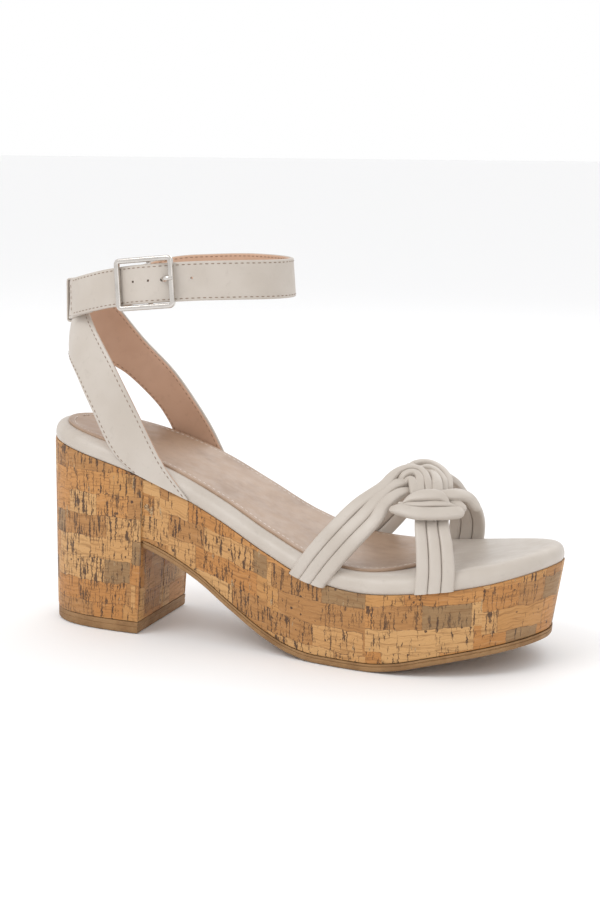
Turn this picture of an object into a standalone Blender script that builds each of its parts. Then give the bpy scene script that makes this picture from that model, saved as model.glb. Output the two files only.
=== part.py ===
"""Right-foot platform sandal with a cork-wrapped block heel, knotted vamp straps and a buckled ankle strap.

Lengths are millimetres until a mesh is made. +X points to the toe, +Y to the inner (medial) side and +Z up.
The origin is on the floor under the middle of the sandal. Run it with: blender --background --python part.py
"""

import math

import bmesh
import bpy
import numpy as np
from mathutils import Vector

MM = 0.001
GAP = 0.3  # clearance between touching pieces

# Driving dimensions of the sole unit
HALF_LENGTH = 113.5
CORK_THICKNESS = 1.2
OUTSOLE_THICKNESS = 3.0
HEEL_TIP_HEIGHT = 4.8
BREAST_X = -65.5  # heel breast at floor level on the centre line
BREAST_SKEW = -0.115  # the breast runs further back towards the inner side
BREAST_LEAN = 0.063  # and leans forward with height
RAND_INSET = 2.0  # footbed edge, inside the cork's edge
RAND_HEIGHT = 7.6  # footbed top above the cork line
SOCK_FRONT_X = 67.0  # front end of the sock lining
SOCK_ROUND_X = 28.0  # where its front end starts to round in

# Ankle loop and buckle
LOOP_CENTRE_X = -55.3
LOOP_A, LOOP_B = 48.5, 27.5  # half axes of the ankle loop along X and Y
LOOP_HEIGHT = (
    (-104, 137.6), (-88, 142.1), (-71.5, 145.9), (-55.3, 148.3), (-30, 150.15), (-15, 150.5),
    (0, 150.5),
)
# Extra height on the inner side
LOOP_INNER_RISE = ((-104, 0), (-90, 1.4), (-72, 2.4), (-55, 1.4), (-37, 0.9), (-7, 0))
LOOP_FLARE = 0.07  # the strap is wider round its lower edge
STRAP_WIDTH = 16.0
STRAP_SKIN, STRAP_LINING = 1.1, 0.8
BUCKLE_LENGTH, BUCKLE_HEIGHT, BUCKLE_BAR = 27.0, 21.0, 2.0
CENTRE_BAR_RADIUS = 1.0
CENTRE_BAR_OUT = 1.0  # its axis, outward of the loop's inner line
FRAME_OUT = 5.5  # the frame's middle plane, outward of the same line
PRONG_RADIUS = 0.75
PRONG_UP = 1.3  # the prong and the holes lie above the middle of the strap

# Vamp strands
STRAND_THICKNESS = 2.5
STRAND_FILL = 0.88  # strand width as a share of the spacing

# Top outline of the cork, from above: (x, y) from the heel back round the outer side to the toe and back
OUTLINE = (
    (-113.5, 0), (-110.5, -12), (-102, -22), (-88, -28.2), (-68, -30.3), (-45, -30.3), (-22, -31.4),
    (0, -34.6), (20, -39), (38, -42.3), (55, -43.4), (71, -41.4), (86, -35.8), (98, -27.4),
    (107.5, -15.5), (112.6, -2), (112.4, 9), (108.5, 20), (100, 31.5), (87, 39.5), (71, 43.2),
    (55, 42.9), (40, 39.6), (22, 33.4), (0, 28.6), (-22, 28.2), (-45, 30), (-68, 31), (-88, 28.6),
    (-102, 22), (-110.5, 12),
)
# Heights along the sandal: the cork's upper line and the outsole's underside, flat at the tread
CORK_LINE = (
    (-113.5, 80.4), (-90.8, 75.8), (-68, 70.3), (-45.4, 62.7), (-22.7, 52.6), (0, 41.4),
    (22.7, 33.4), (45.4, 31.1), (68, 32.9), (90.7, 36.2), (113.5, 41.6),
)
UNDERSIDE = (
    (-66, 39.6), (-52, 35.2), (-34, 26.6), (-18, 16), (0, 5.8), (12, 1.6), (24, 0), (46, 0),
    (58, 1.2), (72.6, 4.4), (90.7, 7.9), (113.5, 11.4),
)
# How far the side walls lean in by the time they reach the bottom
WALL_LEAN = (
    (-113.5, 0.3), (-100, 1.6), (-86, 2.3), (-64, 2.3), (-50, 1.0), (0, 0.5), (60, 0.6), (90, 2.0),
    (113.5, 4.8),
)


# ---------------------------------------------------------------- curves and surfaces


def monotone(knots):
    """A smooth function through the knots that doesn't overshoot between them."""
    x, y = np.array(knots, float).T
    h, d = np.diff(x), np.diff(y) / np.diff(x)
    m = np.zeros_like(x)
    m[0], m[-1] = d[0], d[-1]
    same = d[:-1] * d[1:] > 0
    w1, w2 = 2 * h[1:] + h[:-1], h[1:] + 2 * h[:-1]
    safe = np.where(same, d[:-1], 1), np.where(same, d[1:], 1)
    m[1:-1] = np.where(same, (w1 + w2) / (w1 / safe[0] + w2 / safe[1]), 0)

    def value(at):
        at = np.clip(np.asarray(at, float), x[0], x[-1])
        i = np.clip(np.searchsorted(x, at) - 1, 0, len(h) - 1)
        t = (at - x[i]) / h[i]
        return (
            y[i] * (1 + 2 * t) * (1 - t) ** 2
            + h[i] * m[i] * t * (1 - t) ** 2
            + y[i + 1] * t * t * (3 - 2 * t)
            + h[i] * m[i + 1] * t * t * (t - 1)
        )

    return value


def spline(points, per_span, closed=False):
    """Points along a Catmull-Rom curve through the given points, of any dimension."""
    p = np.array(points, float)
    n = len(p)
    if closed:
        p = np.vstack([p[-1], p, p[0], p[1]])
    else:
        p = np.vstack([2 * p[0] - p[1], p, 2 * p[-1] - p[-2]])
    made = []
    for i in range(n if closed else n - 1):
        a, b, c, d = p[i : i + 4]
        for t in np.arange(per_span) / per_span:
            made.append(
                b
                + 0.5 * (c - a) * t
                + 0.5 * (2 * a - 5 * b + 4 * c - d) * t**2
                + 0.5 * (3 * b - a - 3 * c + d) * t**3
            )
    if not closed:
        made.append(p[-2])
    return np.array(made)


cork_line = monotone(CORK_LINE)
underside = monotone(UNDERSIDE)
wall_lean = monotone(WALL_LEAN)
RIM = spline(OUTLINE, 10, closed=True)
RIM_TANGENT = np.roll(RIM, -1, axis=0) - np.roll(RIM, 1, axis=0)
RIM_INWARD = np.stack([-RIM_TANGENT[:, 1], RIM_TANGENT[:, 0]], 1)
RIM_INWARD /= np.linalg.norm(RIM_TANGENT, axis=1)[:, None]
BACK, TIP = RIM[:, 0].argmin(), RIM[:, 0].argmax()


def rim(inset):
    """The outline moved inwards by inset, one number or one for each of its points."""
    return RIM + RIM_INWARD * np.broadcast_to(inset, len(RIM))[:, None]


def sides(inset):
    """Functions giving the outer and the inner side's y at any x, for the outline moved inwards by inset."""
    loop = np.roll(rim(inset), -BACK, axis=0)
    turn = (TIP - BACK) % len(RIM)
    outer, inner = loop[: turn + 1], np.vstack([loop[turn:], loop[:1]])[::-1]
    outer, inner = (s[np.argsort(s[:, 0])] for s in (outer, inner))
    low, high = loop[:, 0].min(), loop[:, 0].max()
    return (lambda x: np.interp(x, *outer.T)), (lambda x: np.interp(x, *inner.T)), low, high


def breast_x(y, z):
    """X of the heel's front face."""
    return BREAST_X + BREAST_SKEW * y + BREAST_LEAN * z


def stations(start, end, count, round_start=True, round_end=True):
    """Numbers from start to end, closer together towards a round end."""
    u = np.linspace(0, 1, count)
    if round_start and round_end:
        u = (1 - np.cos(np.pi * u)) / 2
    elif round_start:
        u = 1 - np.cos(np.pi * u / 2)
    elif round_end:
        u = np.sin(np.pi * u / 2)
    return start + (end - start) * u


# ---------------------------------------------------------------- scene, materials and mesh helpers

for old in list(bpy.data.objects):
    bpy.data.objects.remove(old, do_unlink=True)

sandal = bpy.data.collections.new("platform_sandal")
cutters = bpy.data.collections.new("cutters")
for made in (sandal, cutters):
    bpy.context.scene.collection.children.link(made)


def principled(name, colour, roughness, metallic=0.0):
    material = bpy.data.materials.new(name)
    material.use_nodes = True
    shader = material.node_tree.nodes["Principled BSDF"]
    shader.inputs["Base Color"].default_value = (*colour, 1)
    shader.inputs["Roughness"].default_value = roughness
    shader.inputs["Metallic"].default_value = metallic
    material.diffuse_color = (*colour, 1)
    return material


CREAM = principled("cream_leather", (0.60, 0.54, 0.48), 0.42)
TAN = principled("tan_lining", (0.52, 0.36, 0.27), 0.6)
CORK = principled("cork", (0.46, 0.26, 0.12), 0.75)
CREPE = principled("tan_rubber", (0.42, 0.25, 0.10), 0.7)
FOAM = principled("foam", (0.78, 0.74, 0.62), 0.9)
CORE = principled("heel_plastic", (0.62, 0.60, 0.55), 0.5)
BOARD = principled("fibre_board", (0.30, 0.22, 0.15), 0.85)
STEEL = principled("steel", (0.50, 0.50, 0.52), 0.35, 1.0)
NICKEL = principled("nickel", (0.70, 0.68, 0.66), 0.18, 1.0)


def add_mesh(name, points, faces, material, collection=sandal):
    """A mesh object from points in millimetres, with its normals made to face outwards."""
    mesh = bpy.data.meshes.new(name)
    mesh.from_pydata([tuple(p) for p in np.asarray(points, float) * MM], [], faces)
    bm = bmesh.new()
    bm.from_mesh(mesh)
    bmesh.ops.recalc_face_normals(bm, faces=bm.faces)
    bm.to_mesh(mesh)
    bm.free()
    mesh.shade_smooth()
    mesh.set_sharp_from_angle(angle=math.radians(40))
    if material:
        mesh.materials.append(material)
    made = bpy.data.objects.new(name, mesh)
    collection.objects.link(made)
    return made


def loft(name, rings, material, closed=False, collection=sandal):
    """A solid through rings of equal count, capped at both ends, or joined end to end if closed."""
    rings = np.array(rings, float)
    count, size = rings.shape[:2]
    faces = []
    for i in range(count if closed else count - 1):
        a, b = i * size, (i + 1) % count * size
        faces += [(a + j, a + (j + 1) % size, b + (j + 1) % size, b + j) for j in range(size)]
    if not closed:
        faces += [tuple(range(size)), tuple(range((count - 1) * size, count * size))]
    return add_mesh(name, rings.reshape(-1, 3), faces, material, collection)


def slab(name, layers, material, collection=sandal):
    """A sole-shaped solid from layers, bottom to top, each of as many outer points as inner points."""
    count = len(layers[0][0])
    points = np.vstack([np.vstack([outer, inner[::-1]]) for outer, inner in layers])
    ring = 2 * count
    faces = []
    for i in range(len(layers) - 1):
        a, b = i * ring, (i + 1) * ring
        faces += [(a + j, a + (j + 1) % ring, b + (j + 1) % ring, b + j) for j in range(ring)]
    for base in (0, (len(layers) - 1) * ring):
        for j in range(count - 1):
            faces.append((base + j, base + j + 1, base + ring - 2 - j, base + ring - 1 - j))
    return add_mesh(name, points, faces, material, collection)


def layer(inset, height, xs, xs_inner=None):
    """One layer of a slab: the outline at that inset, at heights given by a function of x."""
    outer_y, inner_y, low, high = sides(inset)
    made = []
    for x, y_of in ((xs, outer_y), (xs if xs_inner is None else xs_inner, inner_y)):
        x = np.clip(x, low + 0.15, high - 0.15)
        made.append(np.stack([x, y_of(x), height(x)], 1))
    return made


def box(name, corners, material, collection=sandal):
    """A cube with its corners moved. The corners go (-,-,-), (-,-,+), (-,+,-) and so on to (+,+,+)."""
    bm = bmesh.new()
    bmesh.ops.create_cube(bm, size=2)
    for v in bm.verts:
        v.co = Vector(corners[int(v.co.x > 0) * 4 + int(v.co.y > 0) * 2 + int(v.co.z > 0)]) * MM
    bmesh.ops.recalc_face_normals(bm, faces=bm.faces)
    mesh = bpy.data.meshes.new(name)
    bm.to_mesh(mesh)
    bm.free()
    if material:
        mesh.materials.append(material)
    made = bpy.data.objects.new(name, mesh)
    collection.objects.link(made)
    return made


def cylinder(name, centre, radius, length, material, axis=(0, 0, 1), segments=20, collection=sandal):
    """A cylinder about its centre, along axis."""
    mesh = bpy.data.meshes.new(name)
    bm = bmesh.new()
    bmesh.ops.create_cone(
        bm, cap_ends=True, segments=segments, radius1=radius * MM, radius2=radius * MM, depth=length * MM
    )
    bm.to_mesh(mesh)
    bm.free()
    mesh.shade_smooth()
    mesh.set_sharp_from_angle(angle=math.radians(40))
    if material:
        mesh.materials.append(material)
    made = bpy.data.objects.new(name, mesh)
    made.location = Vector(centre) * MM
    made.rotation_mode = "QUATERNION"
    made.rotation_quaternion = Vector(axis).to_track_quat("Z", "Y")
    collection.objects.link(made)
    return made


def boolean(target, tool, operation="DIFFERENCE"):
    """Cuts target with tool, or joins tool to it. The tool is kept as a hidden guide."""
    modifier = target.modifiers.new(f"{operation.lower()}_{tool.name}", "BOOLEAN")
    modifier.operation = operation
    modifier.object = tool
    tool.hide_render = True
    tool.display_type = "WIRE"


# ---------------------------------------------------------------- sole unit


def make_outsole():
    """Thin rubber sole from the toe along the arch to the top of the heel breast."""
    xs = [stations(breast_x(y, 41.0) + 0.8, HALF_LENGTH, 34, round_start=False) for y in (-27.0, 27.0)]
    low = layer(wall_lean(RIM[:, 0]), underside, *xs)
    high = layer(wall_lean(RIM[:, 0]) * 0.93, lambda x: underside(x) + OUTSOLE_THICKNESS, *xs)
    slab("outsole", [low, high], CREPE)


def make_platform_core():
    """Moulded foam platform between the outsole and the footbed, butted against the heel block."""
    skin = CORK_THICKNESS + GAP * 1.6
    base = OUTSOLE_THICKNESS + GAP

    def ends(z):
        return breast_x(-27.0, z) + 1.2 + GAP, breast_x(27.0, z) + 1.2 + GAP

    layers = []
    for inset, height, z in (
        (wall_lean(RIM[:, 0]) + skin, lambda x: underside(x) + base, 42.0),
        (np.full(len(RIM), skin), cork_line, 69.0),
    ):
        outer_start, inner_start = ends(z)
        xs = stations(outer_start, HALF_LENGTH, 30, round_start=False)
        layers.append(layer(inset, height, xs, stations(inner_start, HALF_LENGTH, 30, round_start=False)))
    return slab("platform_core", layers, FOAM)


def heel_stations(z, setback, count=16):
    """X stations from the heel back to the breast at height z, for the outer and the inner side."""
    return [stations(-HALF_LENGTH, breast_x(y, z) - setback, count, round_end=False) for y in (-27.0, 27.0)]


def make_heel_tip():
    lean = wall_lean(RIM[:, 0])
    layers = [
        layer(lean + extra, lambda x, z=z: np.full_like(x, z), *heel_stations(z, setback))
        for extra, z, setback in ((0.5, 0.0, 0.5), (0.0, 0.6, 0.0), (0.0, HEEL_TIP_HEIGHT, 0.0))
    ]
    return slab("heel_tip", layers, CREPE)


def make_heel_block():
    """Solid heel behind the breast, from the heel tip up to the seat."""
    skin = CORK_THICKNESS + GAP
    lean = wall_lean(RIM[:, 0]) + skin
    floor = HEEL_TIP_HEIGHT + GAP
    bottom = layer(lean, lambda x: np.full_like(x, floor), *heel_stations(floor, skin))
    top = layer(np.full(len(RIM), skin), cork_line, *heel_stations(69.0, skin))
    return slab("heel_block", [bottom, top], CORE)


def make_fasteners(heel_block, heel_tip):
    """A screw and four nails through the seat, and two dowels that hold the heel tip."""
    seats = [("heel_screw", -94.0, 0.0, 1.9, 3.6, 26.0)]
    seats += [
        (f"heel_nail_{i + 1}", x, y, 0.9, 2.2, 17.0)
        for i, (x, y) in enumerate(((-104, -9), (-104, 9), (-78, -13), (-78, 13)))
    ]
    for name, x, y, shaft, head, length in seats:
        top = float(cork_line(x)) - 2.2
        screw = cylinder(name, (x, y, top - length / 2), shaft, length, STEEL, segments=12)
        cap = cylinder(f"{name}_head", (x, y, top - 0.8), head, 1.6, None, segments=16, collection=cutters)
        boolean(screw, cap, "UNION")
        hole = cylinder(
            f"{name}_hole", (x, y, top - length / 2), shaft + GAP, length + 1.0, None, segments=12,
            collection=cutters,
        )
        sink = cylinder(
            f"{name}_sink", (x, y, top - 1.6 - GAP + 5), head + GAP, 10.0, None, segments=16,
            collection=cutters,
        )
        boolean(heel_block, hole)
        boolean(heel_block, sink)
    for i, x in enumerate((-98.0, -76.0)):
        name = f"heel_tip_dowel_{i + 1}"
        cylinder(name, (x, 0, 8.0), 2.0, 12.0, STEEL, segments=12)
        hole = cylinder(f"{name}_hole", (x, 0, 8.0), 2.0 + GAP, 12.6, None, segments=12, collection=cutters)
        boolean(heel_block, hole)
        boolean(heel_tip, hole)


def make_shank(heel_block, platform_core):
    """Spring steel strip let into the top of the heel and the arch."""
    xs = np.linspace(-86, 8, 20)

    def strip(name, half, low, high, extra, material, collection):
        rings = []
        for x in np.linspace(xs[0] - extra, xs[-1] + extra, len(xs)):
            z = float(cork_line(x))
            corners = ((-half, low), (half, low), (half, high), (-half, high))
            rings.append([(x, y, z + rise) for y, rise in corners])
        return loft(name, rings, material, collection=collection)

    strip("shank", 6.0, -1.8, -0.5, 0.0, STEEL, sandal)
    groove = strip("shank_groove", 6.0 + GAP, -1.8 - GAP, 2.0, GAP, None, cutters)
    boolean(heel_block, groove)
    boolean(platform_core, groove)


def make_cork_wrap():
    """Cork sheet round the side walls, in two panels, and two panels that meet on the heel breast."""
    lean = wall_lean(RIM[:, 0])
    loop = np.roll(np.arange(len(RIM)), -BACK)
    x = RIM[loop, 0]
    seam = int(np.where((x > 70) & (RIM[loop, 1] > 0))[0][-1])
    heel_floor = HEEL_TIP_HEIGHT + GAP
    base = OUTSOLE_THICKNESS + GAP

    def sections(indices):
        made = []
        for k, i in enumerate(indices):
            top, inward = RIM[i], RIM_INWARD[i]
            z_top = float(cork_line(top[0]))
            corner = breast_x(top[1], z_top)
            heel = top[0] < corner
            z_low = heel_floor if heel else float(underside(top[0])) + base
            foot = top + inward * lean[i]
            if heel:
                share = (top[0] + HALF_LENGTH) / (corner + HALF_LENGTH)
            else:
                share = max(0.0, 1 - (top[0] - corner) / 25)
            foot = foot - np.array([BREAST_LEAN * (z_top - z_low) * share, 0])
            if not heel:
                z_low = float(underside(foot[0])) + base
            made.append(
                [
                    (*foot, z_low),
                    (*top, z_top),
                    (*(top + inward * CORK_THICKNESS), z_top),
                    (*(foot + inward * CORK_THICKNESS), z_low),
                ]
            )
        return made

    def with_corner(indices):
        """Adds a sharp step where the panel passes the heel breast."""
        rings = sections(indices)
        made = [rings[0]]
        for a, b in zip(rings[:-1], rings[1:]):
            step = abs(a[0][2] - b[0][2]) > 20
            if step:
                heel, front = (a, b) if a[0][2] < b[0][2] else (b, a)
                made += corner_pair(heel, front, heel is b)
            made.append(b)
        return made

    def corner_pair(heel, front, heel_last):
        """The two rings either side of the step, a little apart, on the breast plane."""
        heel, front = np.array(heel), np.array(front)
        made = []
        for offset in (0.0, 0.4):
            ring = []
            for a, b, top in zip(heel, front, (False, True, True, False)):
                flat = (a[:2] + b[:2]) / 2
                guess = breast_x(flat[1], 70.0 if top else 40.0) + offset
                low = float(underside(guess)) + base if offset else heel_floor
                z = float(cork_line(guess)) if top else low
                ring.append((breast_x(flat[1], z) + offset, flat[1], z))
            made.append(ring)
        return made[::-1] if heel_last else made

    count = len(RIM)
    step = 3
    outer = [loop[0]] + [loop[i] for i in range(step, seam, step)] + [loop[seam]]
    inner = [loop[seam]] + [loop[i] for i in range(seam + step, count, step)] + [loop[0]]
    for name, indices, trims in (("cork_wrap_outer", outer, (1, 0)), ("cork_wrap_inner", inner, (1, 1))):
        rings = [np.array(r) for r in with_corner(indices)]
        for end, other, trim in ((0, 1, trims[0]), (-1, -2, trims[1])):
            if trim:
                along = rings[other] - rings[end]
                rings[end] = rings[end] + along / np.linalg.norm(along, axis=1)[:, None] * GAP / 2
        if name == "cork_wrap_outer":
            along = rings[-2] - rings[-1]
            rings[-1] = rings[-1] + along / np.linalg.norm(along, axis=1)[:, None] * GAP / 2
        loft(name, rings, CORK)

    top_z = float(underside(-61)) + 1.2
    for name, sign in (("cork_breast_outer", -1), ("cork_breast_inner", 1)):
        corners = []
        for depth in (CORK_THICKNESS, 0.0):
            for across in (-1, 1):
                for z in (heel_floor, top_z):
                    near, far = sign * GAP / 2, sign * breast_half_width(sign, z)
                    y = min(near, far) if across < 0 else max(near, far)
                    corners.append((breast_x(y, z) - depth, y, z))
        box(name, corners, CORK)


def breast_half_width(sign, z):
    """Half width of the breast panel at height z, inside the side wraps."""
    x = breast_x(sign * 27.0, z)
    top = float(cork_line(x))
    lean = float(wall_lean(x)) * (top - z) / (top - HEEL_TIP_HEIGHT)
    outer_y, inner_y, _, _ = sides(lean + CORK_THICKNESS + GAP + 0.2)
    return abs(float(outer_y(x) if sign < 0 else inner_y(x)))


# ---------------------------------------------------------------- footbed


def above(offset):
    return lambda x: cork_line(x) + offset


def make_footbed():
    """Insole board, foam, the cream cover with its rounded edge, and the sock lining on top."""
    full = stations(-HALF_LENGTH, HALF_LENGTH, 34)
    slab("insole_board", [layer(4.2, above(z), full) for z in (GAP, 1.9)], BOARD)
    slab(
        "footbed_foam",
        [layer(inset, above(z), full) for inset, z in ((4.1, 2.2), (4.1, 3.4), (5.3, 4.9), (7.8, 5.9))],
        FOAM,
    )
    cover = (
        (7.0, 6.5), (4.8, 5.6), (3.5, 3.8), (3.4, GAP),  # inside, from the ceiling down to the rim
        (RAND_INSET + 0.2, GAP), (RAND_INSET, 3.0), (RAND_INSET + 0.3, 5.0), (RAND_INSET + 1.6, 6.8),
        (RAND_INSET + 4.0, RAND_HEIGHT),
    )
    slab("footbed_cover", [layer(inset, above(z), full) for inset, z in cover], CREAM)

    xs = stations(-HALF_LENGTH + 6.2, SOCK_FRONT_X, 34)
    reach = np.clip((xs - SOCK_ROUND_X) / (SOCK_FRONT_X - SOCK_ROUND_X), 0, 1)
    share = np.sqrt(1 - reach**2.6 * 0.998)
    layers = []
    for z in (RAND_HEIGHT + GAP, RAND_HEIGHT + GAP + 0.9):
        outer, inner = layer(6.2, above(z), xs)
        middle = (outer[:, 1] + inner[:, 1]) / 2
        for line in (outer, inner):
            line[:, 1] = middle + (line[:, 1] - middle) * share
        layers.append([outer, inner])
    slab("sock_lining", layers, TAN)


# ---------------------------------------------------------------- knotted vamp

# Height of the instep form above the cork line along the sandal
INSTEP_RISE = ((0, 49), (20, 47), (40, 43.5), (59, 38.5), (75, 30.5), (90, 22), (110, 13))
instep_rise = monotone(INSTEP_RISE)
form_outer, form_inner, _, _ = sides(RAND_INSET - 0.35)


def instep(x, turn):
    """The foot form under the vamp strands. Turn goes from -90 at the outer edge to 90 at the inner edge.

    Past either edge it goes straight down.
    """
    bent = np.clip(turn, -90, 90)
    sine, cosine = np.sin(np.radians(bent)), np.cos(np.radians(bent))
    drop = np.abs(turn - bent) * 0.7
    half = np.where(sine < 0, -form_outer(x), form_inner(x))
    y = half * np.sign(sine) * np.abs(sine) ** 0.87
    return np.stack([x, y, cork_line(x) + 0.4 - drop + instep_rise(x) * np.abs(cosine) ** 1.24], -1)


def on_instep(x, turn, lift):
    """Points raised above the form, and the form's normals there."""
    flat = np.clip(turn, -86, 86)
    along = instep(x + 0.5, turn) - instep(x - 0.5, turn)
    across = instep(x, flat + 3) - instep(x, flat - 3)
    normal = np.cross(along, across)
    normal /= np.linalg.norm(normal, axis=-1)[..., None]
    return instep(x, turn) + normal * lift[:, None], normal


def band(controls, offset, per_span=4):
    """Points, side directions and widths of one strand of a band.

    Controls are (x, turn, lift above the form, spacing of the strands). Offset counts strands sideways.
    """
    x, turn, lift, pitch = spline(controls, per_span).T
    points, normal = on_instep(x, turn, lift)
    tangent = np.gradient(points, axis=0)
    tangent /= np.linalg.norm(tangent, axis=1)[:, None]
    side = np.cross(normal, tangent)
    side /= np.linalg.norm(side, axis=1)[:, None]
    return points + side * (pitch * offset)[:, None], side, pitch * STRAND_FILL


def strand(name, points, side, width):
    """A flattened padded tube along the points, whose ends are cut just above the cork's edge."""
    free = points[:, 2] > cork_line(points[:, 0]) + 2.4
    points, side, width = points[free], side[free], width[free]
    tangent = np.gradient(points, axis=0)
    up = np.cross(tangent, side)
    up /= np.linalg.norm(up, axis=1)[:, None]
    angles = np.arange(8) * math.tau / 8 + math.tau / 16
    rings = [
        [p + s * math.cos(a) * w / 2 + u * math.sin(a) * STRAND_THICKNESS / 2 for a in angles]
        for p, s, u, w in zip(points, side, up, width)
    ]
    for end, way in ((0, points[0] - points[1]), (-1, points[-1] - points[-2])):
        if points[end][2] < cork_line(points[end][0]) + 8:
            last = np.array(rings[end])
            for _ in range(4):
                slope = (cork_line(last[:, 0] + 0.5) - cork_line(last[:, 0] - 0.5)) * way[0]
                last = last - way * ((last[:, 2] - cork_line(last[:, 0]) - 0.4) / (way[2] - slope))[:, None]
            rings.insert(0 if end == 0 else len(rings), last)
    loft(name, rings, CREAM)


# Each band runs from one edge of the footbed to the other. The outer band's bend hooks round the inner
# band's bend on top of the instep, and the wrap runs over the outer band's front leg.
OUTER_BAND = (
    (74.4, -98, 1.6, 4.9), (74.2, -89, 1.6, 4.9), (74, -72, 1.6, 4.9), (72, -56, 1.6, 4.7),
    (69.3, -44, 1.6, 4.5), (67.5, -34, 2.4, 4.3), (66.4, -24, 5.6, 3.8), (65, -14, 6.8, 3.3),
    (60.8, -5.8, 6.2, 3.1), (55.4, -5.2, 3.3, 3.2), (51.3, -13, 1.6, 3.6), (50.2, -22, 1.6, 4.4),
    (47.8, -32, 1.6, 5.0), (42.4, -44, 1.6, 5.2), (35.7, -58, 1.6, 5.2), (28, -73, 1.6, 5.2),
    (21.6, -88, 1.6, 5.2), (18, -98, 1.6, 5.2),
)
INNER_BAND = (
    (10.5, 98, 1.6, 5.1), (14.2, 89, 1.6, 5.1), (18.5, 80, 1.6, 5.1), (25, 69, 1.6, 5.1),
    (33, 55, 1.6, 5.1), (40.5, 40, 1.6, 5.0), (46, 24, 2.0, 4.6), (49, 8, 4.6, 4.0),
    (50.8, -5, 6.2, 3.5), (54, -14.2, 5.5, 3.3), (57.6, -18.8, 4.0, 3.2), (62.8, -20, 1.6, 3.5),
    (68, -16, 1.6, 4.2), (71.5, -4, 1.6, 4.6), (71, 12, 1.6, 4.8), (68.5, 28, 1.6, 5.0),
    (65.5, 45, 1.6, 5.1), (62.8, 64, 1.6, 5.1), (59.5, 78, 1.6, 5.1), (57.6, 89, 1.6, 5.1),
    (56.4, 98, 1.6, 5.1),
)
WRAP_BAND = (
    (58, -38.5, 5.6, 4.4), (62.5, -38, 6.4, 4.4), (68, -36, 6.7, 4.4), (73, -33.5, 6.7, 4.4),
    (78, -30, 6.0, 4.4),
)


def make_vamp():
    for name, controls in (("vamp_outer_strand", OUTER_BAND), ("vamp_inner_strand", INNER_BAND)):
        for i, offset in enumerate((-1, 0, 1)):
            strand(f"{name}_{i + 1}", *band(controls, offset))
    for i, offset in enumerate((-1, 0, 1)):
        strand(f"knot_wrap_strand_{i + 1}", *band(WRAP_BAND, offset, 5))


# ---------------------------------------------------------------- sling and ankle strap

# Lower edge, bend line and upper edge of the sling, from the outer base round the heel to the inner base.
# The upper edge passes inside the ankle strap.
SLING_LOWER = (
    (-61.8, -30.0, 69.3), (-72.5, -29.8, 78.0), (-83, -28.2, 95.2), (-91.5, -24, 107),
    (-100, -15.5, 114.5), (-104.6, 0, 115.5), (-101.6, 14.5, 110), (-94, 22.5, 103.5),
    (-82.6, 27, 91.8), (-77, 29, 83.5), (-74.4, 30.8, 77), (-71.8, 30.9, 72.4),
)
SLING_BEND = (
    (-49.1, -30.15, 64.5), (-60.5, -30.1, 76.5), (-71.5, -29.2, 95.5), (-80.5, -27.2, 109.5),
    (-98.2, -17.6, 120), (-105.2, 0, 121), (-100.2, 15.2, 117.5), (-89.8, 23.4, 108.8),
    (-77, 27.2, 97.5), (-67.5, 29.4, 85.5), (-62.4, 30.8, 74.5), (-59.6, 30.9, 68.5),
)
SLING_UPPER = (
    (-36.4, -30.3, 59.8), (-48.6, -29.9, 73.8), (-61, -29.4, 95), (-71.3, -28, 111.7),
    (-90, -17.2, 134), (-98.6, 0, 147), (-94.3, 13.4, 135), (-85.3, 22.4, 119.5),
    (-71.5, 26.2, 104.5), (-58, 29.2, 84.8), (-50.4, 30.6, 70.5), (-47.4, 30.7, 64.5),
)


def make_sling():
    lines = [spline(line, 6) for line in (SLING_LOWER, SLING_BEND, SLING_UPPER)]
    middle = lines[1]
    along = np.gradient(middle, axis=0)
    outs = []
    for low, high in ((0, 1), (0, 2), (1, 2)):
        out = np.cross(lines[high] - lines[low], along)
        out /= np.linalg.norm(out, axis=1)[:, None]
        outs.append(out * np.sign(np.dot(out[len(out) // 2], (-1, 0, 0))))
    for name, low, high, material in (("sling_strap", 0.0, 1.2, CREAM), ("sling_lining", -1.3, -0.5, TAN)):
        rings = [
            [p[i] + o[i] * low for p, o in zip(lines, outs)]
            + [p[i] + o[i] * high for p, o in zip(lines, outs)][::-1]
            for i in range(len(middle))
        ]
        loft(name, rings, material)


loop_height = monotone(LOOP_HEIGHT)
loop_inner_rise = monotone(LOOP_INNER_RISE)


def loop_length_table():
    """Angle against arc length along the ankle loop, zero at the buckle, positive towards the front."""
    angle = np.radians(np.linspace(-150, 330, 1921)) - math.pi / 2
    x, y = LOOP_A * np.cos(angle), LOOP_B * np.sin(angle)
    length = np.concatenate([[0], np.cumsum(np.hypot(np.diff(x), np.diff(y)))])
    return angle, length - np.interp(-math.pi / 2, angle, length)


LOOP_ANGLE, LOOP_LENGTH = loop_length_table()


def loop_point(angle):
    """The middle of the ankle loop's inner surface at that angle round its ellipse."""
    x, side = LOOP_CENTRE_X + LOOP_A * math.cos(angle), math.sin(angle)
    return np.array([x, LOOP_B * side, float(loop_height(x)) + float(loop_inner_rise(x)) * max(0.0, side)])


def on_loop(s, out, up):
    """A point at arc length s along the ankle loop, moved out and, across the strap's width, up."""
    angle = np.interp(s, LOOP_LENGTH, LOOP_ANGLE)
    normal = np.array([LOOP_B * math.cos(angle), LOOP_A * math.sin(angle), 0])
    normal /= np.linalg.norm(normal)
    across = np.cross(normal, loop_point(angle + 0.02) - loop_point(angle - 0.02))
    across = across / np.linalg.norm(across) - normal * LOOP_FLARE
    return loop_point(angle) + normal * out + across / np.linalg.norm(across) * up


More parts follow.
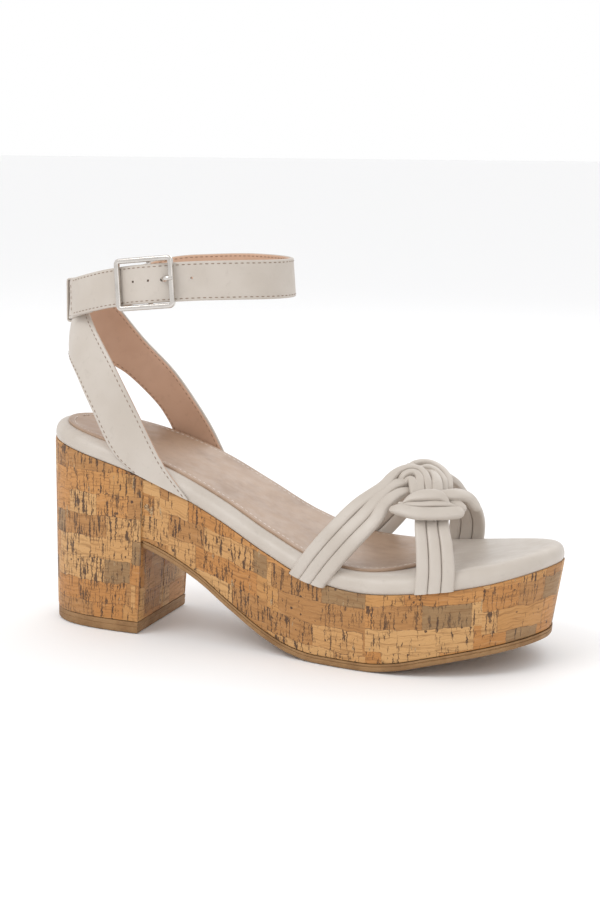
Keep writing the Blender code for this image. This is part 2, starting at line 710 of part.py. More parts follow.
# Inner surface of the ankle strap outward of the loop line, by arc length from the buckle: it lies on the
# line round the ankle, clears the sling at the back, rises to the buckle, crowns over the centre bar and
# ends on top of the chape
strap_out = monotone(
    ((-46, 2.4), (-14, 2.5), (-4, 3.4), (0, 3.6), (4, 3.2), (13, 1.4), (28, 0.0), (145, 0.0),
     (165, 0.6), (186, 0.6), (198, 0.0), (240, 0.0))
)
TAIL_END = -43.0
STRAP_START = 212.0
CHAPE_LENGTH = 36.0
PRONG_HOLE = 7.2  # the strap's hole that the prong passes through
HOLE_LENGTH, HOLE_WIDTH = 6.6, 2.5


def make_ankle_strap():
    s = np.concatenate([np.arange(TAIL_END, 30, 3.0), np.linspace(31, STRAP_START, 40)])
    half = STRAP_WIDTH / 2
    layers = (
        ("ankle_strap_lining", 0.0, STRAP_LINING, TAN),
        ("ankle_strap", STRAP_LINING + GAP, STRAP_LINING + GAP + STRAP_SKIN, CREAM),
    )
    slot = box(
        "prong_slot",
        [
            on_loop(PRONG_HOLE + i * HOLE_LENGTH / 2, out, PRONG_UP + j * HOLE_WIDTH / 2)
            for i in (-1, 1)
            for out in (9.0, -3.0)
            for j in (-1, 1)
        ],
        None,
        cutters,
    )
    for name, low, high, material in layers:
        rings = [
            [on_loop(a, strap_out(a) + o, u * half) for o, u in ((low, -1), (low, 1), (high, 1), (high, -1))]
            for a in s
        ]
        made = loft(name, rings, material)
        boolean(made, slot)


def make_chape():
    """Strap end folded round the centre bar, with a slot for the prong."""
    thick, radius = 0.8, CENTRE_BAR_RADIUS + GAP + 0.45
    way = [(a, CENTRE_BAR_OUT - radius) for a in np.linspace(-CHAPE_LENGTH, -3, 8)]
    way += [
        (radius * math.sin(t), CENTRE_BAR_OUT - radius * math.cos(t)) for t in np.linspace(0, math.pi, 9)
    ]
    way += [(a, CENTRE_BAR_OUT + 0.75) for a in (-5.0, -9.0, -14.0, -20.0, -27.0)]
    way = np.array(way)
    along = np.gradient(way, axis=0)
    across = np.stack([-along[:, 1], along[:, 0]], 1) / np.linalg.norm(along, axis=1)[:, None]
    half = STRAP_WIDTH / 2 - 0.4
    rings = []
    for (a, o), n in zip(way, across):
        rings.append(
            [
                on_loop(a + n[0] * k * thick / 2, o + n[1] * k * thick / 2, u * half)
                for k, u in ((-1, -1), (-1, 1), (1, 1), (1, -1))
            ]
        )
    chape = loft("buckle_chape", rings, CREAM)
    slot = box(
        "chape_slot",
        [on_loop(a, out, PRONG_UP + up) for a in (-3.0, 8.0) for out in (9.0, -4.0) for up in (-1.5, 1.5)],
        None,
        cutters,
    )
    boolean(chape, slot)


def buckle_axes():
    """Origin on the centre bar's axis and the buckle's along, outward and up directions."""
    centre = on_loop(0, CENTRE_BAR_OUT, 0)
    up = on_loop(0, CENTRE_BAR_OUT, 1) - centre
    along = np.cross(up, on_loop(0, CENTRE_BAR_OUT + 1, 0) - centre)
    along /= np.linalg.norm(along)
    return centre, along, np.cross(along, up), up


def make_buckle():
    centre, along, out, up = buckle_axes()

    def at(a, o, u):
        return centre + along * a + out * (o - CENTRE_BAR_OUT) + up * u

    half_l, half_h, bar = BUCKLE_LENGTH / 2, BUCKLE_HEIGHT / 2, BUCKLE_BAR

    def bar_box(name, a, o, u, collection):
        return box(name, [at(i, j, k) for i in a for j in o[::-1] for k in u], NICKEL, collection)

    plane = (FRAME_OUT - bar / 2, FRAME_OUT + bar / 2)
    frame = bar_box("buckle_frame", (-half_l, half_l), plane, (-half_h, half_h), sandal)
    window = bar_box(
        "buckle_window",
        (-half_l + bar, half_l - bar),
        (plane[0] - 2, plane[1] + 2),
        (-half_h + bar, half_h - bar),
        cutters,
    )
    boolean(frame, window)
    for sign in (-1, 1):
        low, high = sorted((sign * (half_h - bar + 0.15), sign * (half_h - 0.15)))
        depth = (CENTRE_BAR_OUT - 1.1, FRAME_OUT)
        post = bar_box(f"buckle_post_{sign}", (-1.1, 1.1), depth, (low, high), cutters)
        boolean(frame, post, "UNION")
    length = 2 * half_h - 1.6
    axle = cylinder("buckle_centre_bar", centre, CENTRE_BAR_RADIUS, length, None, up, 16, cutters)
    boolean(frame, axle, "UNION")

    # The prong: a short eye round the centre bar, and a tongue bent up on to the front bar
    rest = FRAME_OUT + bar / 2 + PRONG_RADIUS + 0.2
    start = ((1.9, CENTRE_BAR_OUT + 0.1), (4.2, CENTRE_BAR_OUT + 0.2))
    way = spline(start + ((6.6, 2.7), (9.0, 6.0), (11.2, rest), (half_l + 0.6, rest)), 3)
    rings = []
    directions = np.gradient(way, axis=0)
    for (a, o), (da, do) in zip(way, directions):
        n = np.array([-do, da]) / math.hypot(da, do)
        ring = []
        for t in np.arange(8) * math.tau / 8:
            side = PRONG_RADIUS * math.cos(t)
            ring.append(at(a + n[0] * side, o + n[1] * side, PRONG_UP + PRONG_RADIUS * math.sin(t)))
        rings.append(ring)
    prong = loft("buckle_prong", rings, NICKEL)
    middle = at(0, CENTRE_BAR_OUT, PRONG_UP)
    eye = cylinder("prong_eye", middle, 2.2, 2.0, None, up, 20, cutters)
    bore = cylinder("prong_bore", middle, CENTRE_BAR_RADIUS + GAP, 6.0, None, up, 16, cutters)
    boolean(prong, eye, "UNION")
    boolean(prong, bore)


def make_sleeve():
    """Leather loop over the back of the ankle strap. Both its ends run in to the sling's outer face."""
    x = LOOP_CENTRE_X - LOOP_A
    z = float(loop_height(x))
    wall = 0.8
    back, half_y = x - 4.2, 4.5
    low, high = z - STRAP_WIDTH / 2 - 0.55, z + STRAP_WIDTH / 2 + 0.9
    low_end, high_end = x - 0.9, x + 3.2
    section = (
        (back - wall, low - wall), (low_end, low - wall), (low_end, low), (back, low),
        (back, high), (high_end, high), (high_end, high + wall), (back - wall, high + wall),
    )
    loft("strap_sleeve", [[(a, y, b) for a, b in section] for y in (-half_y, 0.0, half_y)], CREAM)


make_outsole()
platform = make_platform_core()
tip = make_heel_tip()
block = make_heel_block()
make_fasteners(block, tip)
make_shank(block, platform)
make_cork_wrap()
make_footbed()
make_vamp()
make_sling()
make_ankle_strap()
make_chape()
make_buckle()
make_sleeve()
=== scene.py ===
"""The looks of a platform sandal with a cork-wrapped block heel, a knotted vamp and a buckled ankle strap.

Lengths are millimetres until a mesh is made. +X points to the toe, +Y to the inner side of the foot and
+Z up.
The shape functions repeat those of the sandal's CAD source, at a finer resolution.
"""

import math
from functools import partial

import bmesh
import bpy
import numpy as np
from mathutils import Matrix, Vector


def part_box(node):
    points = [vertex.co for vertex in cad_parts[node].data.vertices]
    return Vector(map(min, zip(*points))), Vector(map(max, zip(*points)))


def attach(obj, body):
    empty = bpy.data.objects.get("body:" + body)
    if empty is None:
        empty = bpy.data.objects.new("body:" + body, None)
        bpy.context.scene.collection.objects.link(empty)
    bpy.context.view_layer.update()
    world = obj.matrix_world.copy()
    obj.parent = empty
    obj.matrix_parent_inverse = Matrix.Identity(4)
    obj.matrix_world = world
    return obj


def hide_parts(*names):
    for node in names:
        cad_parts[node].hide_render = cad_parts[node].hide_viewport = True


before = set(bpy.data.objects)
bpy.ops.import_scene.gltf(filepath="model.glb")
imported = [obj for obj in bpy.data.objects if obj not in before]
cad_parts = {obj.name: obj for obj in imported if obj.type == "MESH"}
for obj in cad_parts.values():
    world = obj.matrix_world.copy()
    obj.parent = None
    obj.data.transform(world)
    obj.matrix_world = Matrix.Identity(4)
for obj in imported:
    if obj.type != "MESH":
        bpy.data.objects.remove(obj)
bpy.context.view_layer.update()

MM = 0.001
SANDAL, ANKLE, BUCKLE, PRONG = "sandal", "ankle_strap", "buckle", "prong"

# ---------------------------------------------------------------- shape of the sole unit

HALF_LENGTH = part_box("cork_wrap_outer")[1][0] / MM + 0.45
CORK_THICKNESS = 1.2
OUTSOLE_THICKNESS = 3.0
HEEL_TIP_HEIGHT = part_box("heel_tip")[1][2] / MM
BREAST_X, BREAST_SKEW, BREAST_LEAN = -65.5, -0.115, 0.063
RAND_INSET = 2.0
SOCK_INSET, SOCK_FRONT_X, SOCK_ROUND_X = 5.6, 65.0, 32.0

OUTLINE = (
    (-113.5, 0), (-110.5, -12), (-102, -22), (-88, -28.2), (-68, -30.3), (-45, -30.3), (-22, -31.4),
    (0, -34.6), (20, -39), (38, -42.3), (55, -43.4), (71, -41.4), (86, -35.8), (98, -27.4), (107.5, -15.5),
    (112.6, -2), (112.4, 9), (108.5, 20), (100, 31.5), (87, 39.5), (71, 43.2), (55, 42.9), (40, 39.6),
    (22, 33.4), (0, 28.6), (-22, 28.2), (-45, 30), (-68, 31), (-88, 28.6), (-102, 22), (-110.5, 12),
)
CORK_LINE = (
    (-113.5, 80.4), (-90.8, 75.8), (-68, 70.3), (-45.4, 62.7), (-22.7, 52.6), (0, 41.4), (22.7, 33.4),
    (45.4, 31.1), (68, 32.9), (90.7, 36.2), (113.5, 41.6),
)
UNDERSIDE = (
    (-66, 39.6), (-52, 35.2), (-34, 26.6), (-18, 16), (0, 5.8), (12, 1.6), (24, 0), (46, 0), (58, 1.2),
    (72.6, 4.4), (90.7, 7.9), (113.5, 11.4),
)
WALL_LEAN = (
    (-113.5, 0.3), (-100, 1.6), (-86, 2.3), (-64, 2.3), (-50, 1.0), (0, 0.5), (60, 0.6), (90, 2.0),
    (113.5, 4.8),
)


def monotone(knots):
    """A smooth function through the knots that doesn't overshoot between them."""
    x, y = np.array(knots, float).T
    h, d = np.diff(x), np.diff(y) / np.diff(x)
    m = np.zeros_like(x)
    m[0], m[-1] = d[0], d[-1]
    same = d[:-1] * d[1:] > 0
    w1, w2 = 2 * h[1:] + h[:-1], h[1:] + 2 * h[:-1]
    safe = np.where(same, d[:-1], 1), np.where(same, d[1:], 1)
    m[1:-1] = np.where(same, (w1 + w2) / (w1 / safe[0] + w2 / safe[1]), 0)

    def value(at):
        at = np.clip(np.asarray(at, float), x[0], x[-1])
        i = np.clip(np.searchsorted(x, at) - 1, 0, len(h) - 1)
        t = (at - x[i]) / h[i]
        return (
            y[i] * (1 + 2 * t) * (1 - t) ** 2
            + h[i] * m[i] * t * (1 - t) ** 2
            + y[i + 1] * t * t * (3 - 2 * t)
            + h[i] * m[i + 1] * t * t * (t - 1)
        )

    return value


def spline(points, per_span, closed=False):
    """Points along a Catmull-Rom curve through the given points, of any dimension."""
    p = np.array(points, float)
    n = len(p)
    if closed:
        p = np.vstack([p[-1], p, p[0], p[1]])
    else:
        p = np.vstack([2 * p[0] - p[1], p, 2 * p[-1] - p[-2]])
    made = []
    for i in range(n if closed else n - 1):
        a, b, c, d = p[i : i + 4]
        for t in np.arange(per_span) / per_span:
            bend, twist = (2 * a - 5 * b + 4 * c - d) * t**2, (3 * b - a - 3 * c + d) * t**3
            made.append(0.5 * (2 * b + (c - a) * t + bend + twist))
    if not closed:
        made.append(p[-2])
    return np.array(made)


def along_length(points):
    """Distance along a line of points, starting at zero."""
    return np.concatenate([[0], np.cumsum(np.linalg.norm(np.diff(points, axis=0), axis=1))])


def unit(vectors):
    return vectors / np.linalg.norm(vectors, axis=-1)[..., None]


cork_line = monotone(CORK_LINE)
underside = monotone(UNDERSIDE)
wall_lean = monotone(WALL_LEAN)
RIM = spline(OUTLINE, 14, closed=True)
RIM_TANGENT = np.roll(RIM, -1, axis=0) - np.roll(RIM, 1, axis=0)
RIM_INWARD = unit(np.stack([-RIM_TANGENT[:, 1], RIM_TANGENT[:, 0]], 1))
BACK, TIP = RIM[:, 0].argmin(), RIM[:, 0].argmax()


def sides(inset):
    """Functions giving the outer and the inner side's y at any x, for the outline moved inwards by inset."""
    moved = RIM + RIM_INWARD * np.broadcast_to(inset, len(RIM))[:, None]
    loop = np.roll(moved, -BACK, axis=0)
    turn = (TIP - BACK) % len(RIM)
    outer, inner = loop[: turn + 1], np.vstack([loop[turn:], loop[:1]])[::-1]
    outer, inner = (s[np.argsort(s[:, 0])] for s in (outer, inner))
    low, high = loop[:, 0].min(), loop[:, 0].max()
    return (lambda x: np.interp(x, *outer.T)), (lambda x: np.interp(x, *inner.T)), low, high


def breast_x(y, z):
    """X of the heel's front face."""
    return BREAST_X + BREAST_SKEW * y + BREAST_LEAN * z


def round_stations(low, high, count):
    """Numbers from low to high, closer together towards both ends."""
    return low + (high - low) * (1 - np.cos(np.pi * np.linspace(0, 1, count))) / 2


# ---------------------------------------------------------------- nodes and materials


class Graph:
    """Short names for building a material's nodes."""

    def __init__(self, name):
        self.material = bpy.data.materials.new(name)
        self.material.use_nodes = True
        self.tree = self.material.node_tree
        self.shader = self.tree.nodes["Principled BSDF"]

    def node(self, kind, inputs=(), **settings):
        made = self.tree.nodes.new(kind)
        for key, value in settings.items():
            setattr(made, key, value)
        for key, value in dict(inputs).items():
            self.put(made.inputs[key], value)
        return made

    def put(self, socket, value):
        if isinstance(value, bpy.types.NodeSocket):
            self.tree.links.new(value, socket)
        else:
            socket.default_value = value

    def math(self, operation, a, b=0.0, c=0.0):
        return self.node("ShaderNodeMath", {0: a, 1: b, 2: c}, operation=operation).outputs[0]

    def vector(self, x=0.0, y=0.0, z=0.0):
        return self.node("ShaderNodeCombineXYZ", {0: x, 1: y, 2: z}).outputs[0]

    def noise(self, vector, scale, detail=2.0, roughness=0.5, distortion=0.0):
        inputs = {"Vector": vector, "Scale": scale, "Detail": detail}
        inputs.update({"Roughness": roughness, "Distortion": distortion})
        return self.node("ShaderNodeTexNoise", inputs).outputs["Fac"]

    def random(self, vector):
        return self.node("ShaderNodeTexWhiteNoise", {"Vector": vector}, noise_dimensions="3D")

    def ramp(self, value, stops, interpolation="LINEAR"):
        made = self.node("ShaderNodeValToRGB", {0: value})
        made.color_ramp.interpolation = interpolation
        while len(made.color_ramp.elements) < len(stops):
            made.color_ramp.elements.new(0.5)
        for element, (position, colour) in zip(made.color_ramp.elements, stops):
            element.position = position
            element.color = (*colour, 1) if isinstance(colour, tuple) else (colour, colour, colour, 1)
        return made.outputs["Color"]

    def smooth(self, value, low, high, to_low=0.0, to_high=1.0):
        inputs = {"Value": value, "From Min": low, "From Max": high, "To Min": to_low, "To Max": to_high}
        return self.node("ShaderNodeMapRange", inputs, interpolation_type="SMOOTHSTEP").outputs["Result"]

    def mix(self, factor, a, b, blend="MIX"):
        made = self.node("ShaderNodeMix", data_type="RGBA", blend_type=blend)
        for socket, value in ((made.inputs[0], factor), (made.inputs[6], a), (made.inputs[7], b)):
            if isinstance(value, tuple):
                value = (*value, 1)
            self.put(socket, value)
        return made.outputs[2]

    def bump(self, height, distance, strength=1.0, normal=None):
        inputs = {"Height": height, "Distance": distance * MM, "Strength": strength}
        if normal is not None:
            inputs["Normal"] = normal
        return self.node("ShaderNodeBump", inputs).outputs["Normal"]

    def place(self):
        """Position on the piece in millimetres, the same at rest and in every pose."""
        coordinates = self.node("ShaderNodeTexCoord").outputs["Object"]
        return self.node("ShaderNodeVectorMath", {0: coordinates, 3: 1 / MM}, operation="SCALE").outputs[0]

    def run(self):
        """Along and across the surface in millimetres, from the piece's map."""
        return self.node("ShaderNodeUVMap", uv_map="run").outputs["UV"]

    def finish(self, colour, roughness, normal=None, **constants):
        self.put(self.shader.inputs["Base Color"], colour)
        self.put(self.shader.inputs["Roughness"], roughness)
        if normal is not None:
            self.put(self.shader.inputs["Normal"], normal)
        for key, value in constants.items():
            self.shader.inputs[key.replace("_", " ")].default_value = value
        return self.material


def leather(name, light, dark, roughness=0.42, grain=0.5, pore=1.6, wear=None):
    """Smooth synthetic leather: fine pores, faint creases and a slow change of tone."""
    g = Graph(name)
    place = g.place()
    tone = g.noise(place, 0.045, 3.0)
    colour = g.mix(g.smooth(tone, 0.35, 0.68), light, dark)
    fine = g.noise(place, pore, 3.0, 0.6)
    crease = g.noise(place, 0.32, 4.0, 0.6, 0.6)
    colour = g.mix(g.smooth(crease, 0.56, 0.75, 0, 0.35), colour, tuple(0.82 * c for c in dark))
    if wear:
        colour = g.mix(g.smooth(g.noise(place, 0.06, 4.0, 0.65), 0.45, 0.7, 0, 0.6), colour, wear)
    rough = g.smooth(g.noise(place, 0.2, 2.0), 0.3, 0.7, roughness - 0.05, roughness + 0.07)
    normal = g.bump(crease, 0.12, 0.35)
    normal = g.bump(fine, 0.05, grain, normal)
    return g.finish(colour, rough, normal, Coat_Weight=0.08, Coat_Roughness=0.3)


def thread(name, light, dark):
    """Twisted sewing thread."""
    g = Graph(name)
    place = g.place()
    twist = g.noise(place, 2.4, 1.0)
    return g.finish(g.mix(g.smooth(twist, 0.4, 0.6), light, dark), 0.6, g.bump(twist, 0.08, 0.6))


def rubber(name, light, dark):
    """Moulded crepe rubber with a fine pebble and darker scuffs."""
    g = Graph(name)
    place = g.place()
    pebble = g.noise(place, 1.3, 3.0, 0.6)
    scuff = g.noise(place, 0.09, 4.0, 0.7)
    colour = g.mix(g.smooth(scuff, 0.4, 0.66), light, dark)
    colour = g.mix(g.smooth(pebble, 0.55, 0.72, 0, 0.3), colour, tuple(0.6 * c for c in dark))
    return g.finish(colour, g.smooth(scuff, 0.3, 0.7, 0.55, 0.75), g.bump(pebble, 0.08, 0.5))


def metal(name, colour, roughness):
    """Plated metal with hairline scratches and slight tarnish."""
    g = Graph(name)
    place = g.place()
    stretched = g.node("ShaderNodeVectorMath", {0: place, 1: (0.3, 0.3, 6.0)}, operation="MULTIPLY")
    scratch = g.noise(stretched.outputs[0], 1.4, 3.0, 0.7)
    cloud = g.noise(place, 0.25, 3.0)
    tint = g.mix(g.smooth(cloud, 0.45, 0.75, 0, 0.5), colour, tuple(0.75 * c for c in colour))
    rough = g.smooth(scratch, 0.4, 0.75, roughness, roughness + 0.12)
    return g.finish(tint, rough, g.bump(scratch, 0.01, 0.3), Metallic=1.0)


def plain(name, light, dark, roughness, scale):
    """Hidden inner pieces: a grainy two-tone surface."""
    g = Graph(name)
    grain = g.noise(g.place(), scale, 4.0, 0.65)
    colour = g.mix(g.smooth(grain, 0.35, 0.65), light, dark)
    rough = g.smooth(grain, 0.3, 0.7, roughness - 0.06, roughness + 0.06)
    return g.finish(colour, rough, g.bump(grain, 0.1, 0.4))


SHEET_WIDTH, STRIP_HEIGHT = 47.0, 9.5
BLOCK_LENGTH, BLOCK_SPREAD = 13.0, 16.0  # shortest block of a strip and how much longer it can be


def cork_sheet():
    """Cork veneer: staggered blocks of differing tone with wavy grain, dark slits, pits and pale lenses."""
    g = Graph("cork_sheet")
    add, less, times, over = (partial(g.math, name) for name in ("ADD", "SUBTRACT", "MULTIPLY", "DIVIDE"))
    run = g.run()
    parts = g.node("ShaderNodeSeparateXYZ", {0: run})
    u, v = parts.outputs[0], parts.outputs[1]
    wander = g.noise(run, 0.12, 2.0)
    jag = g.noise(run, 0.9, 2.0)
    u = add(u, times(jag, 1.0))
    v = add(v, times(wander, 3.0))

    # Blocks: strips that shift from one sheet to the next, each cut into lengths of its own
    sheet = g.math("FLOOR", over(add(u, 2000.0), SHEET_WIDTH))
    shift = g.random(g.vector(sheet, 3.0, 0.0)).outputs["Value"]
    strip_at = add(over(v, STRIP_HEIGHT), add(shift, 50.0))
    strip = g.math("FLOOR", strip_at)
    chance = g.random(g.vector(strip, sheet, 1.0))
    channel = g.node("ShaderNodeSeparateColor", {0: chance.outputs["Color"]})
    length = add(BLOCK_LENGTH, times(channel.outputs[0], BLOCK_SPREAD))
    block_at = over(add(u, times(channel.outputs[1], 200.0)), length)
    block = g.math("FLOOR", block_at)
    pick = g.random(g.vector(strip, block, sheet))
    picked = g.node("ShaderNodeSeparateColor", {0: pick.outputs["Color"]})

    tones = (
        (0.00, (0.470, 0.228, 0.066)), (0.14, (0.520, 0.275, 0.096)), (0.28, (0.440, 0.190, 0.046)),
        (0.44, (0.540, 0.300, 0.112)), (0.60, (0.385, 0.180, 0.052)), (0.84, (0.275, 0.158, 0.064)),
        (0.90, (0.480, 0.220, 0.060)),
    )
    colour = g.ramp(picked.outputs[0], tones, "CONSTANT")

    # Wavy growth lines along the strips
    grain_place = g.vector(times(u, 0.09), times(v, 1.05), times(picked.outputs[1], 9.0))
    grain = g.noise(grain_place, 1.0, 4.0, 0.65, 0.5)
    colour = g.mix(g.smooth(grain, 0.46, 0.70, 0, 0.62), colour, (0.185, 0.078, 0.022))
    colour = g.mix(g.smooth(grain, 0.28, 0.44, 0.4, 0), colour, (0.470, 0.265, 0.115))
    speckle = g.noise(run, 2.2, 3.0, 0.7)
    colour = g.mix(g.smooth(speckle, 0.56, 0.75, 0, 0.45), colour, (0.150, 0.068, 0.024))

    # Pale speckled lenses in some blocks
    lens_place = g.vector(times(u, 0.42), times(v, 0.105), 7.3)
    lens = g.smooth(g.noise(lens_place, 1.0, 2.0, 0.5), 0.705, 0.735)
    lens_colour = g.mix(g.smooth(speckle, 0.42, 0.55), (0.46, 0.34, 0.19), (0.22, 0.12, 0.05))
    colour = g.mix(times(lens, 0.85), colour, lens_colour)

    # Upright slits, crowded in some blocks and rare in others
    slit_across = add(times(u, 1.05), times(jag, 0.5))
    slit_place = g.vector(slit_across, times(v, 0.10), times(picked.outputs[2], 9.0))
    slits = g.noise(slit_place, 1.0, 3.0, 0.62)
    crowd = less(0.665, times(picked.outputs[1], 0.120))
    slit = g.smooth(less(slits, crowd), 0.0, 0.03)
    crack_place = g.vector(add(times(u, 1.5), times(jag, 0.9)), times(v, 0.11), 21.0)
    cracks = less(g.noise(crack_place, 1.0, 2.0, 0.5), times(picked.outputs[2], 0.13))
    crack = g.smooth(cracks, 0.575, 0.60)
    pits = g.node("ShaderNodeTexVoronoi", {"Vector": run, "Scale": 0.42, "Randomness": 1.0})
    pit_chance = g.node("ShaderNodeSeparateColor", {0: pits.outputs["Color"]}).outputs[0]
    pit_size = times(g.smooth(pit_chance, 0.86, 0.99), 0.32)
    pit_edge = add(pits.outputs["Distance"], times(g.noise(run, 1.7, 2.0), 0.25))
    pit = g.smooth(less(pit_size, less(pit_edge, 0.1)), 0.0, 0.07)

    # Broken dark joints between strips and between blocks
    strip_edge = g.math("ABSOLUTE", less(g.math("FRACT", strip_at), 0.5))
    block_edge = g.math("ABSOLUTE", less(g.math("FRACT", block_at), 0.5))
    joint = g.math("MAXIMUM", g.smooth(strip_edge, 0.478, 0.495), g.smooth(block_edge, 0.482, 0.496))
    joint = times(joint, g.smooth(g.noise(run, 0.5, 2.0), 0.42, 0.6))

    dark = g.math("MAXIMUM", g.math("MAXIMUM", slit, pit), times(crack, 0.75))
    colour = g.mix(times(joint, 0.55), colour, (0.120, 0.050, 0.018))
    colour = g.mix(times(dark, 0.93), colour, (0.062, 0.026, 0.010))
    height = less(times(grain, 0.25), add(dark, times(joint, 0.4)))
    normal = g.bump(height, 0.35, 0.8)
    normal = g.bump(speckle, 0.08, 0.35, normal)
    rough = g.smooth(grain, 0.3, 0.7, 0.5, 0.68)
    return g.finish(colour, rough, normal, Coat_Weight=0.06, Coat_Roughness=0.35)


CREAM = leather("cream_leather", (0.520, 0.466, 0.412), (0.478, 0.422, 0.366))
TAN = leather("tan_lining", (0.560, 0.355, 0.245), (0.500, 0.310, 0.210), 0.55, 0.4)
SOCK_WEAR = (0.270, 0.175, 0.117)
SOCK = leather("tan_sock", (0.395, 0.270, 0.188), (0.350, 0.232, 0.156), 0.42, 0.4, wear=SOCK_WEAR)
CORK = cork_sheet()
CREPE = rubber("tan_rubber", (0.300, 0.165, 0.065), (0.230, 0.120, 0.045))
NICKEL = metal("nickel", (0.62, 0.585, 0.55), 0.12)
STEEL = metal("steel", (0.50, 0.50, 0.52), 0.35)
DARK_THREAD = thread("beige_thread", (0.27, 0.195, 0.145), (0.20, 0.14, 0.10))
TAN_THREAD = thread("tan_thread", (0.33, 0.20, 0.13), (0.26, 0.15, 0.09))
LIGHT_THREAD = thread("cream_thread", (0.74, 0.68, 0.62), (0.62, 0.55, 0.48))
FOAM = plain("foam", (0.80, 0.76, 0.66), (0.70, 0.66, 0.55), 0.9, 1.2)
CORE = plain("heel_plastic", (0.64, 0.62, 0.57), (0.55, 0.53, 0.48), 0.5, 0.6)
BOARD = plain("fibre_board", (0.32, 0.24, 0.16), (0.22, 0.16, 0.10), 0.85, 0.8)

# ---------------------------------------------------------------- mesh helpers


def circle(count):
    """Angles round a whole turn."""
    return np.arange(count) * math.tau / count


def mesh_object(name, points, faces, uvs=None):
    """An object made from points in millimetres, with its faces turned outwards."""
    mesh = bpy.data.meshes.new(name)
    mesh.from_pydata([tuple(p) for p in np.asarray(points, float) * MM], [], faces)
    if uvs is not None:
        layer = mesh.uv_layers.new(name="run")
        layer.data.foreach_set("uv", np.asarray(uvs, np.float32).ravel())
    bm = bmesh.new()
    bm.from_mesh(mesh)
    bmesh.ops.recalc_face_normals(bm, faces=bm.faces)
    bm.to_mesh(mesh)
    bm.free()
    made = bpy.data.objects.new(name, mesh)
    bpy.context.scene.collection.objects.link(made)
    return made


def piece(name, points, faces, material, body, replaces=(), uvs=None, sharp=40):
    """A shown object. uvs holds one (along, across) pair in millimetres for each face corner."""
    made = mesh_object(name, points, faces, uvs)
    made.data.shade_smooth()
    made.data.set_sharp_from_angle(angle=math.radians(sharp))
    made.data.materials.append(material)
    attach(made, body)
    if replaces:
        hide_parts(*replaces)
    return made


def loft_faces(count, size, start=0, caps=True):
    """Faces through count rings of size points each, and the index pairs (ring, point) of their corners."""
    faces = []
    for i in range(count - 1):
        for j in range(size):
            k = (j + 1) % size
            a, b = start + i * size, start + (i + 1) * size
            faces.append((a + j, a + k, b + k, b + j))
    if caps:
        faces.append(tuple(start + j for j in range(size)))
        faces.append(tuple(start + (count - 1) * size + j for j in range(size)))
    return faces


def loft(name, rings, material, body, replaces=(), sharp=40):
    """One closed tube through the rings."""
    rings = np.array(rings, float)
    faces = loft_faces(*rings.shape[:2])
    return piece(name, rings.reshape(-1, 3), faces, material, body, replaces, None, sharp)


def sheets(name, blocks, material, body, replaces=()):
    """Several tubes in one mesh, with a map. Each block is (rings, maps), both counts x size x 3 or 2."""
    points, faces, uvs = [], [], []
    base = 0
    for rings, maps in blocks:
        rings, maps = np.array(rings, float), np.array(maps, float)
        made = loft_faces(*rings.shape[:2], base)
        flat = maps.reshape(-1, 2)
        uvs += [flat[i - base] for face in made for i in face]
        faces += made
        points.append(rings.reshape(-1, 3))
        base += rings.shape[0] * rings.shape[1]
    return piece(name, np.vstack(points), faces, material, body, replaces, uvs)


def slab(name, layers, surface, material, body, replaces=(), across=14):
    """A sole-shaped piece. Layers go from bottom to top, each a pair of lines: the outer and the inner side.

    The top is a grid. Surface gives by x the depth of its dish along the middle.
    """
    rings = [np.vstack([outer, inner[::-1]]) for outer, inner in layers]
    count = len(layers[0][0])
    size = 2 * count
    points = list(np.vstack(rings))
    faces = loft_faces(len(rings), size, caps=False)
    faces += [(j, j + 1, size - 2 - j, size - 1 - j) for j in range(count - 1)]
    top = (len(rings) - 1) * size
    outer, inner = layers[-1]
    rows = [[top + j for j in range(count)]]
    for k in range(1, across):
        t = k / across
        rows.append(list(range(len(points), len(points) + count)))
        for a, b in zip(outer, inner):
            middle = a + (b - a) * t
            dish = surface(middle[0]) * (1 - (2 * t - 1) ** 2) * min(1.0, abs(b[1] - a[1]) / 30)
            points.append(middle + np.array([0, 0, dish]))
    rows.append([top + size - 1 - j for j in range(count)])
    for low, high in zip(rows[:-1], rows[1:]):
        faces += [(low[j], low[j + 1], high[j + 1], high[j]) for j in range(count - 1)]
    return piece(name, points, faces, material, body, replaces)


def layer(inset, height, count=110):
    """One layer of a slab at that inset, at heights given by a function of x."""
    outer_y, inner_y, low, high = sides(inset)
    x = round_stations(low + 0.03, high - 0.03, count)
    return [np.stack([x, y_of(x), height(x)], 1) for y_of in (outer_y, inner_y)]


def above(offset):
    return lambda x: cork_line(x) + offset


def rounded(half_width, low, high, radius, steps=3, face=6):
    """A rounded rectangle as (across, out) pairs, counter-clockwise from the lower left."""
    made = []
    corners = ((-1, -1, 180), (1, -1, 270), (1, 1, 0), (-1, 1, 90))
    middle, half = (low + high) / 2, (high - low) / 2
    radius = min(radius, half * 0.98, half_width)
    for i, (sx, so, start) in enumerate(corners):
        for k in range(steps + 1):
            a = math.radians(start + 90 * k / steps)
            made.append((sx * (half_width - radius) + radius * math.cos(a),
                         middle + so * (half - radius) + radius * math.sin(a)))
        if so == -1 and sx == -1 or so == 1 and sx == 1:
            for k in range(1, face):
                t = k / face
                made.append((sx * (half_width - radius) * (1 - 2 * t), middle + so * half))
    return made


